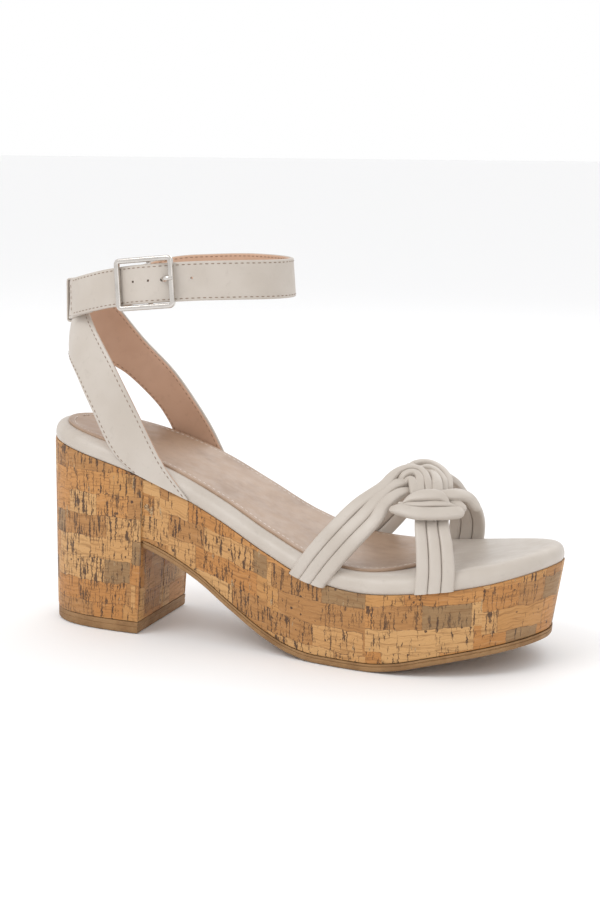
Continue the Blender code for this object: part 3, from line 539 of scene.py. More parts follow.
def stitches(name, lines, material, body, length=1.4, pitch=2.4, width=0.42, rise=0.16):
    """Rows of sewn dashes, each a low rounded bead. A line is (points, normals)."""
    points, faces = [], []
    for way, normals in lines:
        way, normals = np.array(way, float), np.array(normals, float)
        run = along_length(way)
        for k in range(int(run[-1] / pitch)):
            start = (run[-1] % pitch) / 2 + k * pitch + (pitch - length) / 2
            at = start + length * np.array([0, 0.18, 0.5, 0.82, 1])
            size = np.array([0.35, 0.9, 1, 0.9, 0.35])
            place = np.stack([np.interp(at, run, way[:, c]) for c in range(3)], 1)
            up = unit(np.stack([np.interp(at, run, normals[:, c]) for c in range(3)], 1))
            ahead = unit(np.gradient(place, axis=0))
            side = unit(np.cross(ahead, up))
            base = len(points)
            for p, u, s, w in zip(place, up, side, size):
                for j in range(6):
                    a = math.tau * j / 6
                    points.append(p + s * (math.cos(a) * width / 2 * w) + u * (math.sin(a) * rise * w))
            faces += loft_faces(5, 6, base)
    return piece(name, points, faces, material, body)


# ---------------------------------------------------------------- sole unit


def cork_walls():
    """Cork sheet round the side walls. Heel and platform are separate sheets that meet above the breast."""
    heel_floor = HEEL_TIP_HEIGHT + 0.3
    base = OUTSOLE_THICKNESS + 0.3
    loop = np.roll(np.arange(len(RIM)), -BACK)
    ordered = RIM[loop]
    run = along_length(np.vstack([ordered, ordered[:1]]))
    seam = int(np.where((ordered[:, 0] > 70) & (ordered[:, 1] > 0))[0][-1])
    heights = np.concatenate([[0, 0.02], np.linspace(0.1, 0.9, 6), [0.985, 1.0]])
    insets = np.array([0.3, 0.05, 0, 0, 0, 0, 0, 0, 0.05, 0.3])

    def section(k, heel, edge=False):
        i = loop[k % len(RIM)]
        top, inward = RIM[i], RIM_INWARD[i]
        z_top = float(cork_line(top[0]))
        corner = breast_x(top[1], z_top)
        foot = top + inward * wall_lean(top[0])
        if heel:
            z_low = heel_floor
            share = (top[0] + HALF_LENGTH) / (corner + HALF_LENGTH)
        else:
            z_low = float(underside(top[0])) + base
            share = max(0.0, 1 - (top[0] - corner) / 25)
        foot = foot - np.array([BREAST_LEAN * (z_top - z_low) * share, 0])
        if not heel:
            z_low = float(underside(foot[0])) + base
        ring, chart = [], []
        middle = 0.0 if heel else 0.5 * (z_top + z_low) / 2
        # The platform's sheet uses another part of the cork pattern than the heel's
        ahead, raised = (0, 0) if heel else (31.0, 300.0)
        levels = [(t, inset, ahead) for t, inset in zip(heights, insets)]
        levels += [(t, CORK_THICKNESS, CORK_THICKNESS) for t in (1.0, 0.0)]
        for t, inset, shift in levels:
            p = foot + (top - foot) * t + inward * inset
            z = z_low + (z_top - z_low) * t
            if edge:
                p[0] = breast_x(p[1], z)
            ring.append((*p, z))
            chart.append((run[k] + shift, z - middle + raised))
        return ring, chart

    def span(ks, heel, edge_first=False, edge_last=False):
        made = [section(k, heel, (edge_first and k == ks[0]) or (edge_last and k == ks[-1])) for k in ks]
        return [m[0] for m in made], [m[1] for m in made]

    def is_heel(k):
        x, y = ordered[k % len(RIM)]
        return x < breast_x(y, cork_line(x))

    count = len(RIM)
    outer_corner = next(k for k in range(count) if not is_heel(k))
    inner_corner = next(k for k in range(seam, count + 1) if is_heel(k))
    outer = [
        span(list(range(0, outer_corner + 1)), True, edge_last=True),
        span(list(range(outer_corner, seam + 1)), False, edge_first=True),
    ]
    inner = [
        span(list(range(seam, inner_corner)), False, edge_last=True),
        span(list(range(inner_corner - 1, count + 1)), True, edge_first=True),
    ]
    sheets("cork_outer_wall", outer, CORK, SANDAL, ("cork_wrap_outer",))
    sheets("cork_inner_wall", inner, CORK, SANDAL, ("cork_wrap_inner",))


def wall_half_width(sign, z):
    """Half width of the heel's front face at height z, inside the side walls."""
    x = breast_x(sign * 27.0, z)
    top = float(cork_line(x))
    lean = float(wall_lean(x)) * (top - z) / (top - HEEL_TIP_HEIGHT)
    outer_y, inner_y, _, _ = sides(lean + CORK_THICKNESS + 0.15)
    return abs(float(outer_y(x) if sign < 0 else inner_y(x)))


# Section of a breast panel: share of the way from the seam to the side, depth behind the heel's front face
BREAST_SECTION = (
    (0, 0.35), (0.012, 0), (0.25, 0), (0.5, 0), (0.75, 0), (0.99, 0), (1, 0.2), (1, 1.2), (0, 1.2),
)


def cork_breast():
    """Two cork panels on the heel's front face, with a seam between them."""
    low, high = HEEL_TIP_HEIGHT + 0.3, float(underside(-61)) + 1.2
    for name, sign in (("outer", -1), ("inner", 1)):
        rings, charts = [], []
        for z in np.linspace(low, high, 14):
            ring, chart = [], []
            near, far = 0.1, wall_half_width(sign, z)
            for across, depth in BREAST_SECTION:
                y = sign * (near + (far - near) * across)
                ring.append((breast_x(y, z) - depth, y, z))
                chart.append((y + 700.0, z + 120.0 * sign))
            rings.append(ring)
            charts.append(chart)
        node = f"cork_breast_{name}"
        sheets(f"{node}_panel", [(rings, charts)], CORK, SANDAL, (node,))


def cut_stations(start, count, inset):
    """Stations from the heel breast to the toe, for one side."""
    _, _, _, high = sides(inset)
    u = np.linspace(0, 1, count)
    return start + (high - 0.03 - start) * np.sin(np.pi * u / 2)


def outsole():
    """Rubber sole with a fine groove round its edge."""
    lean = wall_lean(RIM[:, 0])
    layers = []
    profile = (
        (1.2, 0.0), (0.25, 0.05), (0.0, 0.35), (0.0, 1.75), (0.3, 1.95), (0.3, 2.1), (0.0, 2.3), (0.05, 3.0),
    )
    for inset, height in profile:
        total = lean * (1 - 0.07 * height / 3) + inset
        outer_y, inner_y, _, _ = sides(total)
        made = []
        for y_of, y0 in ((outer_y, -27.0), (inner_y, 27.0)):
            x = cut_stations(breast_x(y0, 41.0) + 0.5, 110, total)
            made.append(np.stack([x, y_of(x), underside(x) + height], 1))
        layers.append(made)
    slab("rubber_outsole", layers, lambda x: 0.0, CREPE, SANDAL, ("outsole",), 6)


def heel_tip():
    """Rubber top piece under the heel."""
    layers = []
    profile = (
        (1.0, 0.0), (0.3, 0.05), (0.0, 0.5), (0.0, 2.6), (0.2, 2.75), (0.2, 2.9), (0.0, 3.05),
        (0.0, HEEL_TIP_HEIGHT),
    )
    for inset, z in profile:
        outer_y, inner_y, low, _ = sides(wall_lean(RIM[:, 0]) + inset)
        made = []
        for y_of, y0 in ((outer_y, -27.0), (inner_y, 27.0)):
            u = np.linspace(0, 1, 60)
            end = breast_x(y0, z) - inset * 0.6
            x = low + 0.03 + (end - low - 0.03) * (1 - np.cos(np.pi * u / 2))
            made.append(np.stack([x, y_of(x), np.full_like(x, z)], 1))
        layers.append(made)
    slab("rubber_heel_tip", layers, lambda x: 0.0, CREPE, SANDAL, ("heel_tip",), 6)


# ---------------------------------------------------------------- footbed

footbed_dish = monotone(
    ((-113, -0.4), (-90, -1.5), (-60, -0.8), (0, -0.4), (45, -0.9), (80, -0.5), (113, 0))
)


def footbed():
    """Padded cover with a full rounded edge, and the lining sheet with its stitched border."""
    profile = (
        (1.7, 0.0), (0.95, 0.05), (0.5, 0.5), (0.3, 1.4), (0.32, 2.6), (0.55, 3.8), (1.05, 5.0), (1.9, 6.1),
        (3.0, 6.9), (4.4, 7.4), (6.2, 7.55),
    )
    cover = slab(
        "footbed_leather", [layer(inset, above(z)) for inset, z in profile], footbed_dish, CREAM, SANDAL,
        ("footbed_cover", "footbed_foam"),
    )

    def sock_layer(inset, z):
        outer_y, inner_y, low, _ = sides(inset)
        front = SOCK_FRONT_X - (inset - SOCK_INSET)
        x = round_stations(low + 0.03, front, 120)
        reach = np.clip((x - SOCK_ROUND_X) / (front - SOCK_ROUND_X), 0, 1)
        share = np.sqrt(np.clip(1 - reach**2.6, 0, 1))
        middle = (outer_y(x) + inner_y(x)) / 2
        return [
            np.stack([x, middle + (y_of(x) - middle) * share, cork_line(x) + z], 1)
            for y_of in (outer_y, inner_y)
        ]

    profile = ((5.8, 7.2), (5.62, 7.5), (5.65, 8.15), (5.9, 8.45), (6.4, 8.55))
    slab(
        "sock_sheet", [sock_layer(inset, z) for inset, z in profile], footbed_dish, SOCK, SANDAL,
        ("sock_lining",), 18,
    )
    outer, inner = sock_layer(8.4, 8.55)
    border = np.vstack([outer, inner[::-1]])
    width = np.concatenate([inner[:, 1] - outer[:, 1]] * 2)
    t = np.clip(2.6 / np.maximum(width, 5.2), 0, 0.5)
    border[:, 2] += footbed_dish(border[:, 0]) * (1 - (1 - 2 * t) ** 2) * np.minimum(1, width / 30)
    normals = np.tile((0, 0, 1.0), (len(border), 1))
    stitches("sock_stitches", [(border, normals)], LIGHT_THREAD, SANDAL, 1.5, 2.5, 0.4, 0.14)


# ---------------------------------------------------------------- knotted vamp

instep_rise = monotone(((0, 49), (20, 47), (40, 43.5), (59, 38.5), (75, 30.5), (90, 22), (110, 13)))
form_outer, form_inner, _, _ = sides(RAND_INSET - 0.35)


def instep(x, turn):
    """The foot form under the strands. Turn goes from -90 at the outer edge to 90 at the inner edge."""
    bent = np.clip(turn, -90, 90)
    sine, cosine = np.sin(np.radians(bent)), np.cos(np.radians(bent))
    drop = np.abs(turn - bent) * 0.7
    half = np.where(sine < 0, -form_outer(x), form_inner(x))
    y = half * np.sign(sine) * np.abs(sine) ** 0.87
    return np.stack([x, y, cork_line(x) + 0.4 - drop + instep_rise(x) * np.abs(cosine) ** 1.24], -1)


def on_instep(x, turn, lift):
    """Points raised above the form, and the form's normals there."""
    flat = np.clip(turn, -86, 86)
    along = instep(x + 0.5, turn) - instep(x - 0.5, turn)
    across = instep(x, flat + 3) - instep(x, flat - 3)
    normal = unit(np.cross(along, across))
    return instep(x, turn) + normal * lift[:, None], normal


STRAND_THICKNESS = 3.4
STRAND_SECTION = 20
STRAND_SQUARENESS = 0.58  # 1 is an ellipse, less is flatter on top and rounder at the sides
FOOT_OF_LEG = 8  # a strand ending lower than this above the cork line runs down to the cork
# By x, how far below the cork line a leg ends, lying over the cork's edge
FOOT_LAP = ((35, 60), (1.0, -0.25))
# Rounded end: share of the section, reach as a share of the width
CAP = ((0.9, 0.28), (0.66, 0.48), (0.3, 0.6))

# Legs of the vamp: (x, turn, lift, spacing) of the middle strand
LEG_OUTER_REAR = (
    (42.4, -44, 2.1, 5.3), (35.7, -58, 2.0, 5.4), (28, -73, 1.7, 5.4), (21.6, -88, 1.3, 5.4),
    (18, -98, 1.2, 5.4),
)
LEG_OUTER_FRONT = (
    (74.4, -98, 1.2, 5.1), (74.2, -89, 1.3, 5.1), (74, -72, 1.7, 5.0), (72, -56, 2.0, 4.8),
    (69, -43, 2.2, 4.5),
)
LEG_INNER_REAR = (
    (10.5, 98, 1.2, 5.3), (14.2, 89, 1.3, 5.3), (18.5, 80, 1.6, 5.3), (25, 69, 1.8, 5.3),
    (33, 55, 2.0, 5.2), (40.5, 40, 2.1, 4.8), (45.5, 24, 2.2, 3.8),
)
LEG_INNER_FRONT = (
    (57.5, 44, 2.2, 4.2), (60.2, 54, 2.2, 4.9), (60.8, 62, 2.1, 5.1), (60.2, 70, 1.8, 5.2),
    (59, 79, 1.5, 5.2), (57.6, 89, 1.3, 5.2), (56.8, 98, 1.2, 5.2),
)

# The knot: (x, turn, lift, width) along each strand, from its hidden end to where it joins a leg
LEFT_BIGHT = (
    ((62.6, -21.3, 4.2, 3.2), (61, -17.4, 5.4, 3.2), (59, -13.8, 6.1, 3.0), (56.5, -11.8, 6.6, 3.0),
     (54, -12, 6.8, 3.0), (51.7, -13.1, 6.6, 3.0), (49.9, -15, 6.1, 3.1), (48.5, -17.2, 5.4, 3.4),
     (47.2, -21, 4.4, 4.0), (45.4, -28, 3.2, 4.8)),
    ((60, -24.6, 4.2, 4.2), (58.5, -18.8, 5.2, 3.8), (57.1, -16, 5.8, 3.2), (55.4, -15, 6.2, 3.0),
     (53.5, -15.8, 6.2, 2.9), (51.9, -17.4, 5.4, 2.9), (51, -19.4, 3.4, 3.0), (50.4, -21.6, 0.8, 3.0)),
    ((58.8, -26.4, 4.2, 4.2), (57, -22.4, 4.9, 3.8), (55.6, -20, 5.2, 3.2), (54.4, -19.4, 5.0, 2.8),
     (53.4, -20.6, 3.4, 2.8), (53, -22.4, 0.8, 2.8)),
)
RIGHT_BIGHT = (
    ((50, -5, 2.8, 3.4), (51.2, -3.4, 5.0, 3.1), (52.9, -2, 6.0, 3.0), (54.9, -0.8, 6.5, 3.0),
     (57.5, -0.4, 6.6, 3.0), (60.4, -1.1, 6.2, 3.0), (63.2, -2.9, 5.6, 3.1), (65.6, -5.2, 4.8, 3.3),
     (67.4, -9, 3.4, 3.4)),
    ((53.4, -6.8, 3.0, 3.2), (55.2, -5.6, 5.0, 3.0), (57.3, -5.3, 6.1, 2.9), (59.3, -5.2, 6.1, 2.9),
     (61.3, -5.8, 5.7, 2.9), (63.5, -7.3, 5.1, 3.0), (65.4, -9.8, 4.4, 3.0), (66.8, -13, 3.0, 3.0)),
    ((56.6, -6.6, 3.2, 2.6), (58.4, -6.6, 4.7, 3.0), (60.6, -8.9, 5.3, 3.6), (62.6, -12.2, 5.3, 4.2),
     (64.1, -15.8, 5.0, 4.6), (65.6, -20, 4.2, 4.6)),
)
REAR_ENDS = (
    ((54.9, -17.9, 2.4, 3.6), (51.4, -22, 3.4, 4.6), (47.4, -29, 2.9, 5.0)),
    ((56.2, -23.6, 2.2, 3.4), (52.8, -29, 2.9, 4.8), (48.8, -37.5, 2.4, 5.2)),
)
FRONT_ENDS = (
    ((69.9, -27, 2.6, 4.3), (66.6, -20, 2.6, 3.8)),
    ((66.3, -30, 2.6, 4.3), (64.1, -22.5, 2.6, 3.8)),
    ((62.5, -31.8, 2.6, 4.3), (61.7, -24, 2.6, 3.8)),
)
INNER_STARTS = (
    ((56, 14, 2.6, 4.0), (59.4, 30, 2.4, 4.4)),
    ((53.6, 18, 2.4, 3.8), (56, 32, 2.2, 4.2)),
    ((51.2, 22, 2.2, 3.8), (52.6, 34, 2.2, 4.2)),
)
WRAP = (
    ("leaf", "knot_wrap_strand_3",
     ((57.4, -37, 6.8, 1.0), (59.4, -34.6, 7.6, 3.0), (62, -32.4, 8.1, 4.6), (64.9, -30.4, 8.4, 5.2),
      (67.9, -28.8, 8.3, 4.6), (70.4, -29, 7.6, 2.8), (72.3, -30.2, 6.8, 1.0))),
    ("shoulder", "knot_wrap_strand_3",
     ((66.8, -26.4, 5.6, 4.8), (70.8, -23.4, 7.0, 5.4), (74.2, -19.6, 6.9, 5.8), (77.2, -17.2, 5.9, 5.4),
      (80, -16.4, 3.8, 4.6))),
    ("crescent", "knot_wrap_strand_2",
     ((55.6, -37.4, 5.8, 1.2), (59.6, -37.4, 6.6, 2.2), (63.7, -36.2, 7.1, 2.6), (67.4, -33.8, 7.3, 2.8),
      (71.3, -31.2, 7.1, 2.6), (74.3, -29.2, 6.2, 1.6))),
    ("knob", "knot_wrap_strand_2", ((70, -25, 4.4, 3.8), (73.6, -24.8, 5.2, 4.2), (76.2, -26.4, 5.2, 4.2))),
    ("belt", "knot_wrap_strand_1",
     ((53.7, -40.6, 4.8, 3.0), (55.4, -40.9, 5.7, 4.2), (57.8, -41.1, 6.3, 4.8), (61, -41.6, 6.8, 5.1),
      (64.1, -41.2, 7.0, 5.3), (67.4, -39.8, 7.1, 5.3), (72.3, -36.7, 7.0, 5.3), (76, -33.2, 6.6, 5.2))),
)


def on_leg(controls, offset):
    """Place, normal and width at each control of a leg, for the strand offset by that many spacings."""
    per_span = 12
    x, turn, lift, pitch = spline(controls, per_span).T
    centre, normal = on_instep(x, turn, lift)
    side = unit(np.cross(normal, unit(np.gradient(centre, axis=0))))
    rows = np.hstack([centre + side * (pitch * offset)[:, None], normal, pitch[:, None]])
    return rows[::per_span]


def on_knot(controls):
    """Place, normal and width at each control of a strand in the knot."""
    x, turn, lift, width = np.array(controls, float).T
    centre, normal = on_instep(x, turn, lift)
    return np.hstack([centre, normal, width[:, None]])


def strand(name, controls, replaces, per_span=10):
    """A padded flattened tube through the controls, rounded where hidden and cut near the cork at a foot."""
    rows = spline(controls, per_span)
    points, normal, width = rows[:, :3], rows[:, 3:6], rows[:, 6]
    free = points[:, 2] > cork_line(points[:, 0]) + 2.4
    points, normal, width = points[free], normal[free], width[free]
    tangent = unit(np.gradient(points, axis=0))
    side = unit(np.cross(unit(normal), tangent))
    up = np.cross(tangent, side)
    high = STRAND_THICKNESS * np.clip(width / 5.0, 0.3, 1.0) ** 0.6
    a = circle(STRAND_SECTION)
    across = np.sign(np.cos(a)) * np.abs(np.cos(a)) ** STRAND_SQUARENESS
    out = np.sign(np.sin(a)) * np.abs(np.sin(a)) ** STRAND_SQUARENESS
    rings = points[:, None] + side[:, None] * (across * width[:, None] / 2)[..., None]
    rings = list(rings + up[:, None] * (out * high[:, None] / 2)[..., None])
    ends = []
    for end, way in ((0, -tangent[0]), (-1, tangent[-1])):
        base = rings[end]
        if points[end][2] < cork_line(points[end][0]) + FOOT_OF_LEG:
            last = np.array(base)
            for _ in range(4):
                slope = (cork_line(last[:, 0] + 0.5) - cork_line(last[:, 0] - 0.5)) * way[0]
                above_foot = last[:, 2] - cork_line(last[:, 0]) + np.interp(last[:, 0], *FOOT_LAP)
                last = last - way * (above_foot / (way[2] - slope))[:, None]
            ends.append([last])
        else:
            ends.append([points[end] + (base - points[end]) * s + way * width[end] * r for s, r in CAP])
    rings = ends[0][::-1] + rings + ends[1]
    return loft(name, rings, CREAM, SANDAL, replaces, 50)


def vamp():
    for i, offset in enumerate((-1, 0, 1)):
        outer, inner = (f"vamp_outer_strand_{i + 1}",), (f"vamp_inner_strand_{i + 1}",)
        front = np.vstack([on_leg(LEG_OUTER_FRONT, offset), on_knot(FRONT_ENDS[i])])
        strand(f"outer_front_leg_{i + 1}", front, outer)
        bight = on_knot(LEFT_BIGHT[i])
        rear = on_leg(LEG_OUTER_REAR, offset)
        if i == 0:
            strand("left_bight_1", np.vstack([bight, rear]), outer)
        else:
            strand(f"left_bight_{i + 1}", bight, outer)
            strand(f"outer_rear_leg_{i + 1}", np.vstack([on_knot(REAR_ENDS[i - 1]), rear]), outer)
        rear = np.vstack([on_leg(LEG_INNER_REAR, offset), on_knot(RIGHT_BIGHT[i])])
        strand(f"right_bight_{i + 1}", rear, inner)
        front = np.vstack([on_knot(INNER_STARTS[i]), on_leg(LEG_INNER_FRONT, offset)])
        strand(f"inner_front_leg_{i + 1}", front, inner)
    for name, node, controls in WRAP:
        strand(f"wrap_{name}", on_knot(controls), (node,))


# ---------------------------------------------------------------- sling

SLING_LOWER = (
    (-61.8, -30.0, 69.3), (-72.5, -29.8, 78.0), (-83, -28.2, 95.2), (-91.5, -24, 107),
    (-100, -15.5, 114.5), (-104.6, 0, 115.5), (-101.6, 14.5, 110), (-94, 22.5, 103.5), (-82.6, 27, 91.8),
    (-77, 29, 83.5), (-74.4, 30.8, 77), (-71.8, 30.9, 72.4),
)
SLING_BEND = (
    (-49.1, -30.15, 64.5), (-60.5, -30.1, 76.5), (-71.5, -29.2, 95.5), (-80.5, -27.2, 109.5),
    (-98.2, -17.6, 120), (-105.2, 0, 121), (-100.2, 15.2, 117.5), (-89.8, 23.4, 108.8), (-77, 27.2, 97.5),
    (-67.5, 29.4, 85.5), (-62.4, 30.8, 74.5), (-59.6, 30.9, 68.5),
)
SLING_UPPER = (
    (-36.4, -30.3, 59.8), (-48.6, -29.9, 73.8), (-61, -29.4, 95), (-71.3, -28, 111.7), (-90, -17.2, 134),
    (-98.6, 0, 147), (-94.3, 13.4, 135), (-85.3, 22.4, 119.5), (-71.5, 26.2, 104.5), (-58, 29.2, 84.8),
    (-50.4, 30.6, 70.5), (-47.4, 30.7, 64.5),
)


def sling():
    """Band round the heel, curved across its width through its lower edge, bend line and upper edge."""
    lower, bend, upper = (spline(line, 14) for line in (SLING_LOWER, SLING_BEND, SLING_UPPER))
    low_part = np.linalg.norm(bend - lower, axis=1)
    middle_at = (low_part / (low_part + np.linalg.norm(upper - bend, axis=1)))[:, None]

    def across(t):
        t = np.full((len(bend), 1), t)
        a = (t - middle_at) * (t - 1) / middle_at
        b = t * (1 - t) / (middle_at * (1 - middle_at))
        c = t * (t - middle_at) / (1 - middle_at)
        return lower * a + bend * b + upper * c

    def outward(t):
        out = unit(np.cross(across(t + 0.05) - across(t - 0.05), np.gradient(across(t), axis=0)))
        return out * np.sign(np.dot(out[len(out) // 2], (-1, 0, 0)))

    width = np.linalg.norm(upper - lower, axis=1)[:, None]

    def ribbon(name, low, high, trim, material, node):
        shares = [0, 0.02, 0.06, 0.2, 0.35, 0.5, 0.65, 0.8, 0.94, 0.98, 1]
        inner, outer = [], []
        for share in shares:
            t = share
            line, out = across(t), outward(t)
            pull = (0.5 - share) * 2 * trim
            line = line + unit(upper - lower) * pull
            edge = min(share, 1 - share)
            round_off = 0.32 if edge == 0 else (0.08 if edge < 0.03 else 0)
            inner.append(line + out * (low + round_off))
            outer.append(line + out * (high - round_off))
        rows = inner + outer[::-1]
        rings = [[row[i] for row in rows] for i in range(len(bend))]
        return loft(name, rings, material, SANDAL, (node,), 50)

    ribbon("sling_leather", 0.0, 1.3, 0.0, CREAM, "sling_strap")
    ribbon("sling_back", -1.0, -0.06, 0.25, TAN, "sling_lining")
    rows = []
    for side in (0, 1):
        t = float(np.median(1.5 / width)) if side == 0 else 1 - float(np.median(1.5 / width))
        line, out = across(t), outward(t)
        rows.append((line + out * 1.3, out))
        rows.append((line - out * 1.0, -out))
    stitches("sling_stitches", rows[0::2], DARK_THREAD, SANDAL)
    stitches("sling_back_stitches", rows[1::2], TAN_THREAD, SANDAL)


# ---------------------------------------------------------------- ankle strap and buckle

LOOP_CENTRE_X, LOOP_A, LOOP_B = -55.3, 48.5, 27.5
LOOP_HEIGHT = (
    (-104, 137.6), (-88, 142.1), (-71.5, 145.9), (-55.3, 148.3), (-30, 150.15), (-15, 150.5), (0, 150.5),
)
LOOP_INNER_RISE = ((-104, 0), (-90, 1.4), (-72, 2.4), (-55, 1.4), (-37, 0.9), (-7, 0))
LOOP_FLARE = 0.07
STRAP_HALF = 8.0
STRAP_LINING, STRAP_SKIN = 0.8, 1.1
STITCH_INSET = 1.15
CENTRE_BAR_OUT, CENTRE_BAR_RADIUS = 1.0, 1.0
FRAME_OUT = 5.5
TAIL_END, STRAP_START = -43.0, 212.0
PRONG_HOLE, PRONG_UP = 7.2, 1.3
HOLES = (-5.1, 1.6, 18.6)

loop_height = monotone(LOOP_HEIGHT)
loop_inner_rise = monotone(LOOP_INNER_RISE)
loop_angle = np.radians(np.linspace(-150, 330, 1921)) - math.pi / 2
loop_length = along_length(np.stack([LOOP_A * np.cos(loop_angle), LOOP_B * np.sin(loop_angle)], 1))
loop_length = loop_length - np.interp(-math.pi / 2, loop_angle, loop_length)


def loop_point(angle):
    """The middle of the ankle loop's inner surface at that angle round its ellipse."""
    x, side = LOOP_CENTRE_X + LOOP_A * math.cos(angle), math.sin(angle)
    return np.array([x, LOOP_B * side, float(loop_height(x)) + float(loop_inner_rise(x)) * max(0.0, side)])


def loop_frame(s):
    """Point on the ankle loop at arc length s from the buckle, and its outward and across directions."""
    angle = np.interp(s, loop_length, loop_angle)
    normal = np.array([LOOP_B * math.cos(angle), LOOP_A * math.sin(angle), 0])
    normal /= np.linalg.norm(normal)
    across = np.cross(normal, loop_point(angle + 0.02) - loop_point(angle - 0.02))
    across = across / np.linalg.norm(across) - normal * LOOP_FLARE
    return loop_point(angle), normal, across / np.linalg.norm(across)


def on_loop(s, out, up):
    place, normal, across = loop_frame(s)
    return place + normal * out + across * up


# Inner surface of the ankle strap outward of the loop line, by arc length from the buckle
strap_out = monotone((
    (-46, 2.4), (-14, 2.5), (-4, 3.4), (0, 3.6), (4, 3.2), (13, 1.4), (28, 0.0), (140, 0.0), (160, 0.9),
    (186, 0.9), (198, 0.0), (240, 0.0),
))


def buckle_axes():
    """Origin on the centre bar's axis and the buckle's along, outward and up directions."""
    centre = on_loop(0, CENTRE_BAR_OUT, 0)
    up = on_loop(0, CENTRE_BAR_OUT, 1) - centre
    along = np.cross(up, on_loop(0, CENTRE_BAR_OUT + 1, 0) - centre)
    along /= np.linalg.norm(along)
    return centre, along, np.cross(along, up), up


def cutter(name, s, radius_along, radius_up):
    """A pin through the strap, a little above its middle, that a Boolean cuts with."""
    place, normal, across = loop_frame(s)
    place = place + across * PRONG_UP
    ahead = np.cross(across, normal)
    rings = []
    for depth in (-3.0, 9.0):
        centre = place + normal * depth
        rings.append([
            centre + ahead * (radius_along * math.cos(a)) + across * (radius_up * math.sin(a)) for a in circle(16)
        ])
    made = mesh_object(name, np.array(rings).reshape(-1, 3), loft_faces(2, 16))
    made.hide_render = True
    made.hide_set(True)
    return made


def cut(target, tools):
    """Cuts the tools out of target's mesh for good, so that no modifier or helper is left."""
    for tool in tools:
        modifier = target.modifiers.new("hole", "BOOLEAN")
        modifier.operation = "DIFFERENCE"
        modifier.object = tool
    graph = bpy.context.evaluated_depsgraph_get()
    mesh = bpy.data.meshes.new_from_object(target.evaluated_get(graph))
    target.modifiers.clear()
    target.data = mesh


def ankle_strap():
    s = np.concatenate([np.linspace(TAIL_END, 30, 72), np.linspace(31.5, STRAP_START, 110)])
    end = np.clip((s - TAIL_END) / 1.2, 0, 1)
    tools = [cutter(f"hole_{i}", at, 0.55, 0.55) for i, at in enumerate(HOLES)]
    tools.append(cutter("prong_slot", PRONG_HOLE + 0.6, 1.5, 0.95))
    top = STRAP_LINING + 0.3 + STRAP_SKIN
    layers = (
        ("strap_leather", "ankle_strap", STRAP_LINING + 0.08, top, 0.0, CREAM, "cream_leather"),
        ("strap_back", "ankle_strap_lining", 0.0, STRAP_LINING, 0.2, TAN, "tan_lining"),
    )
    for name, node, low, high, trim, material, slot in layers:
        rings = []
        for at, near in zip(s, end):
            half = STRAP_HALF - trim - 0.5 * (1 - math.sqrt(1 - (1 - near) ** 2))
            lift = float(strap_out(at))
            section = rounded(half, low + lift, high + lift, 0.5)
            place, normal, across = loop_frame(at)
            rings.append([place + across * a + normal * b for a, b in section])
        cut(loft(name, rings, material, ANKLE, (node,), 50), tools)
    for tool in tools:
        bpy.data.objects.remove(tool, do_unlink=True)

    sewn = STRAP_HALF - STITCH_INSET
    rows = []
    for sign in (-1, 1):
        line, normals = [], []
        for at in s[1:]:
            place, normal, across = loop_frame(at)
            line.append(place + across * sign * sewn + normal * (float(strap_out(at)) + top))
            normals.append(normal)
        rows.append((line[1:], normals[1:]))
    place, normal, across = loop_frame(TAIL_END + 1.2)
    lift = float(strap_out(TAIL_END)) + top
    ups = np.linspace(-STRAP_HALF + 1.3, STRAP_HALF - 1.3, 8)
    rows.append(([place + across * u + normal * lift for u in ups], [normal] * 8))
    stitches("strap_stitches", rows, DARK_THREAD, ANKLE)
    rows = []
    for sign in (-1, 1):
        inner = [loop_frame(at) for at in s[75:]]
        rows.append(([p + c * sign * sewn for p, _, c in inner], [-n for _, n, _ in inner]))
    stitches("strap_back_stitches", rows, TAN_THREAD, ANKLE)


def chape():
    """Strap end folded round the centre bar, with a slot for the prong."""
    thick, radius = 0.8, CENTRE_BAR_RADIUS + 0.75
    way = [(a, CENTRE_BAR_OUT - radius) for a in np.linspace(-35, -3, 16)]
    half_turn = np.linspace(0, math.pi, 17)
    way += [(radius * math.sin(t), CENTRE_BAR_OUT - radius * math.cos(t)) for t in half_turn]
    way += [(a, CENTRE_BAR_OUT + 0.75) for a in np.linspace(-4, -27, 14)]
    way = np.array(way)
    along = np.gradient(way, axis=0)
    across = unit(np.stack([-along[:, 1], along[:, 0]], 1))
    section = rounded(STRAP_HALF - 0.5, -thick / 2, thick / 2, 0.3, 2, 4)
    rings = []
    for (a, o), n in zip(way, across):
        rings.append([on_loop(a + n[0] * b, o + n[1] * b, c) for c, b in section])
    made = loft("strap_fold", rings, CREAM, ANKLE, ("buckle_chape",), 50)
    tools = [cutter("fold_slot", 2.4, 5.2, 1.4)]
    cut(made, tools)
    bpy.data.objects.remove(tools[0], do_unlink=True)


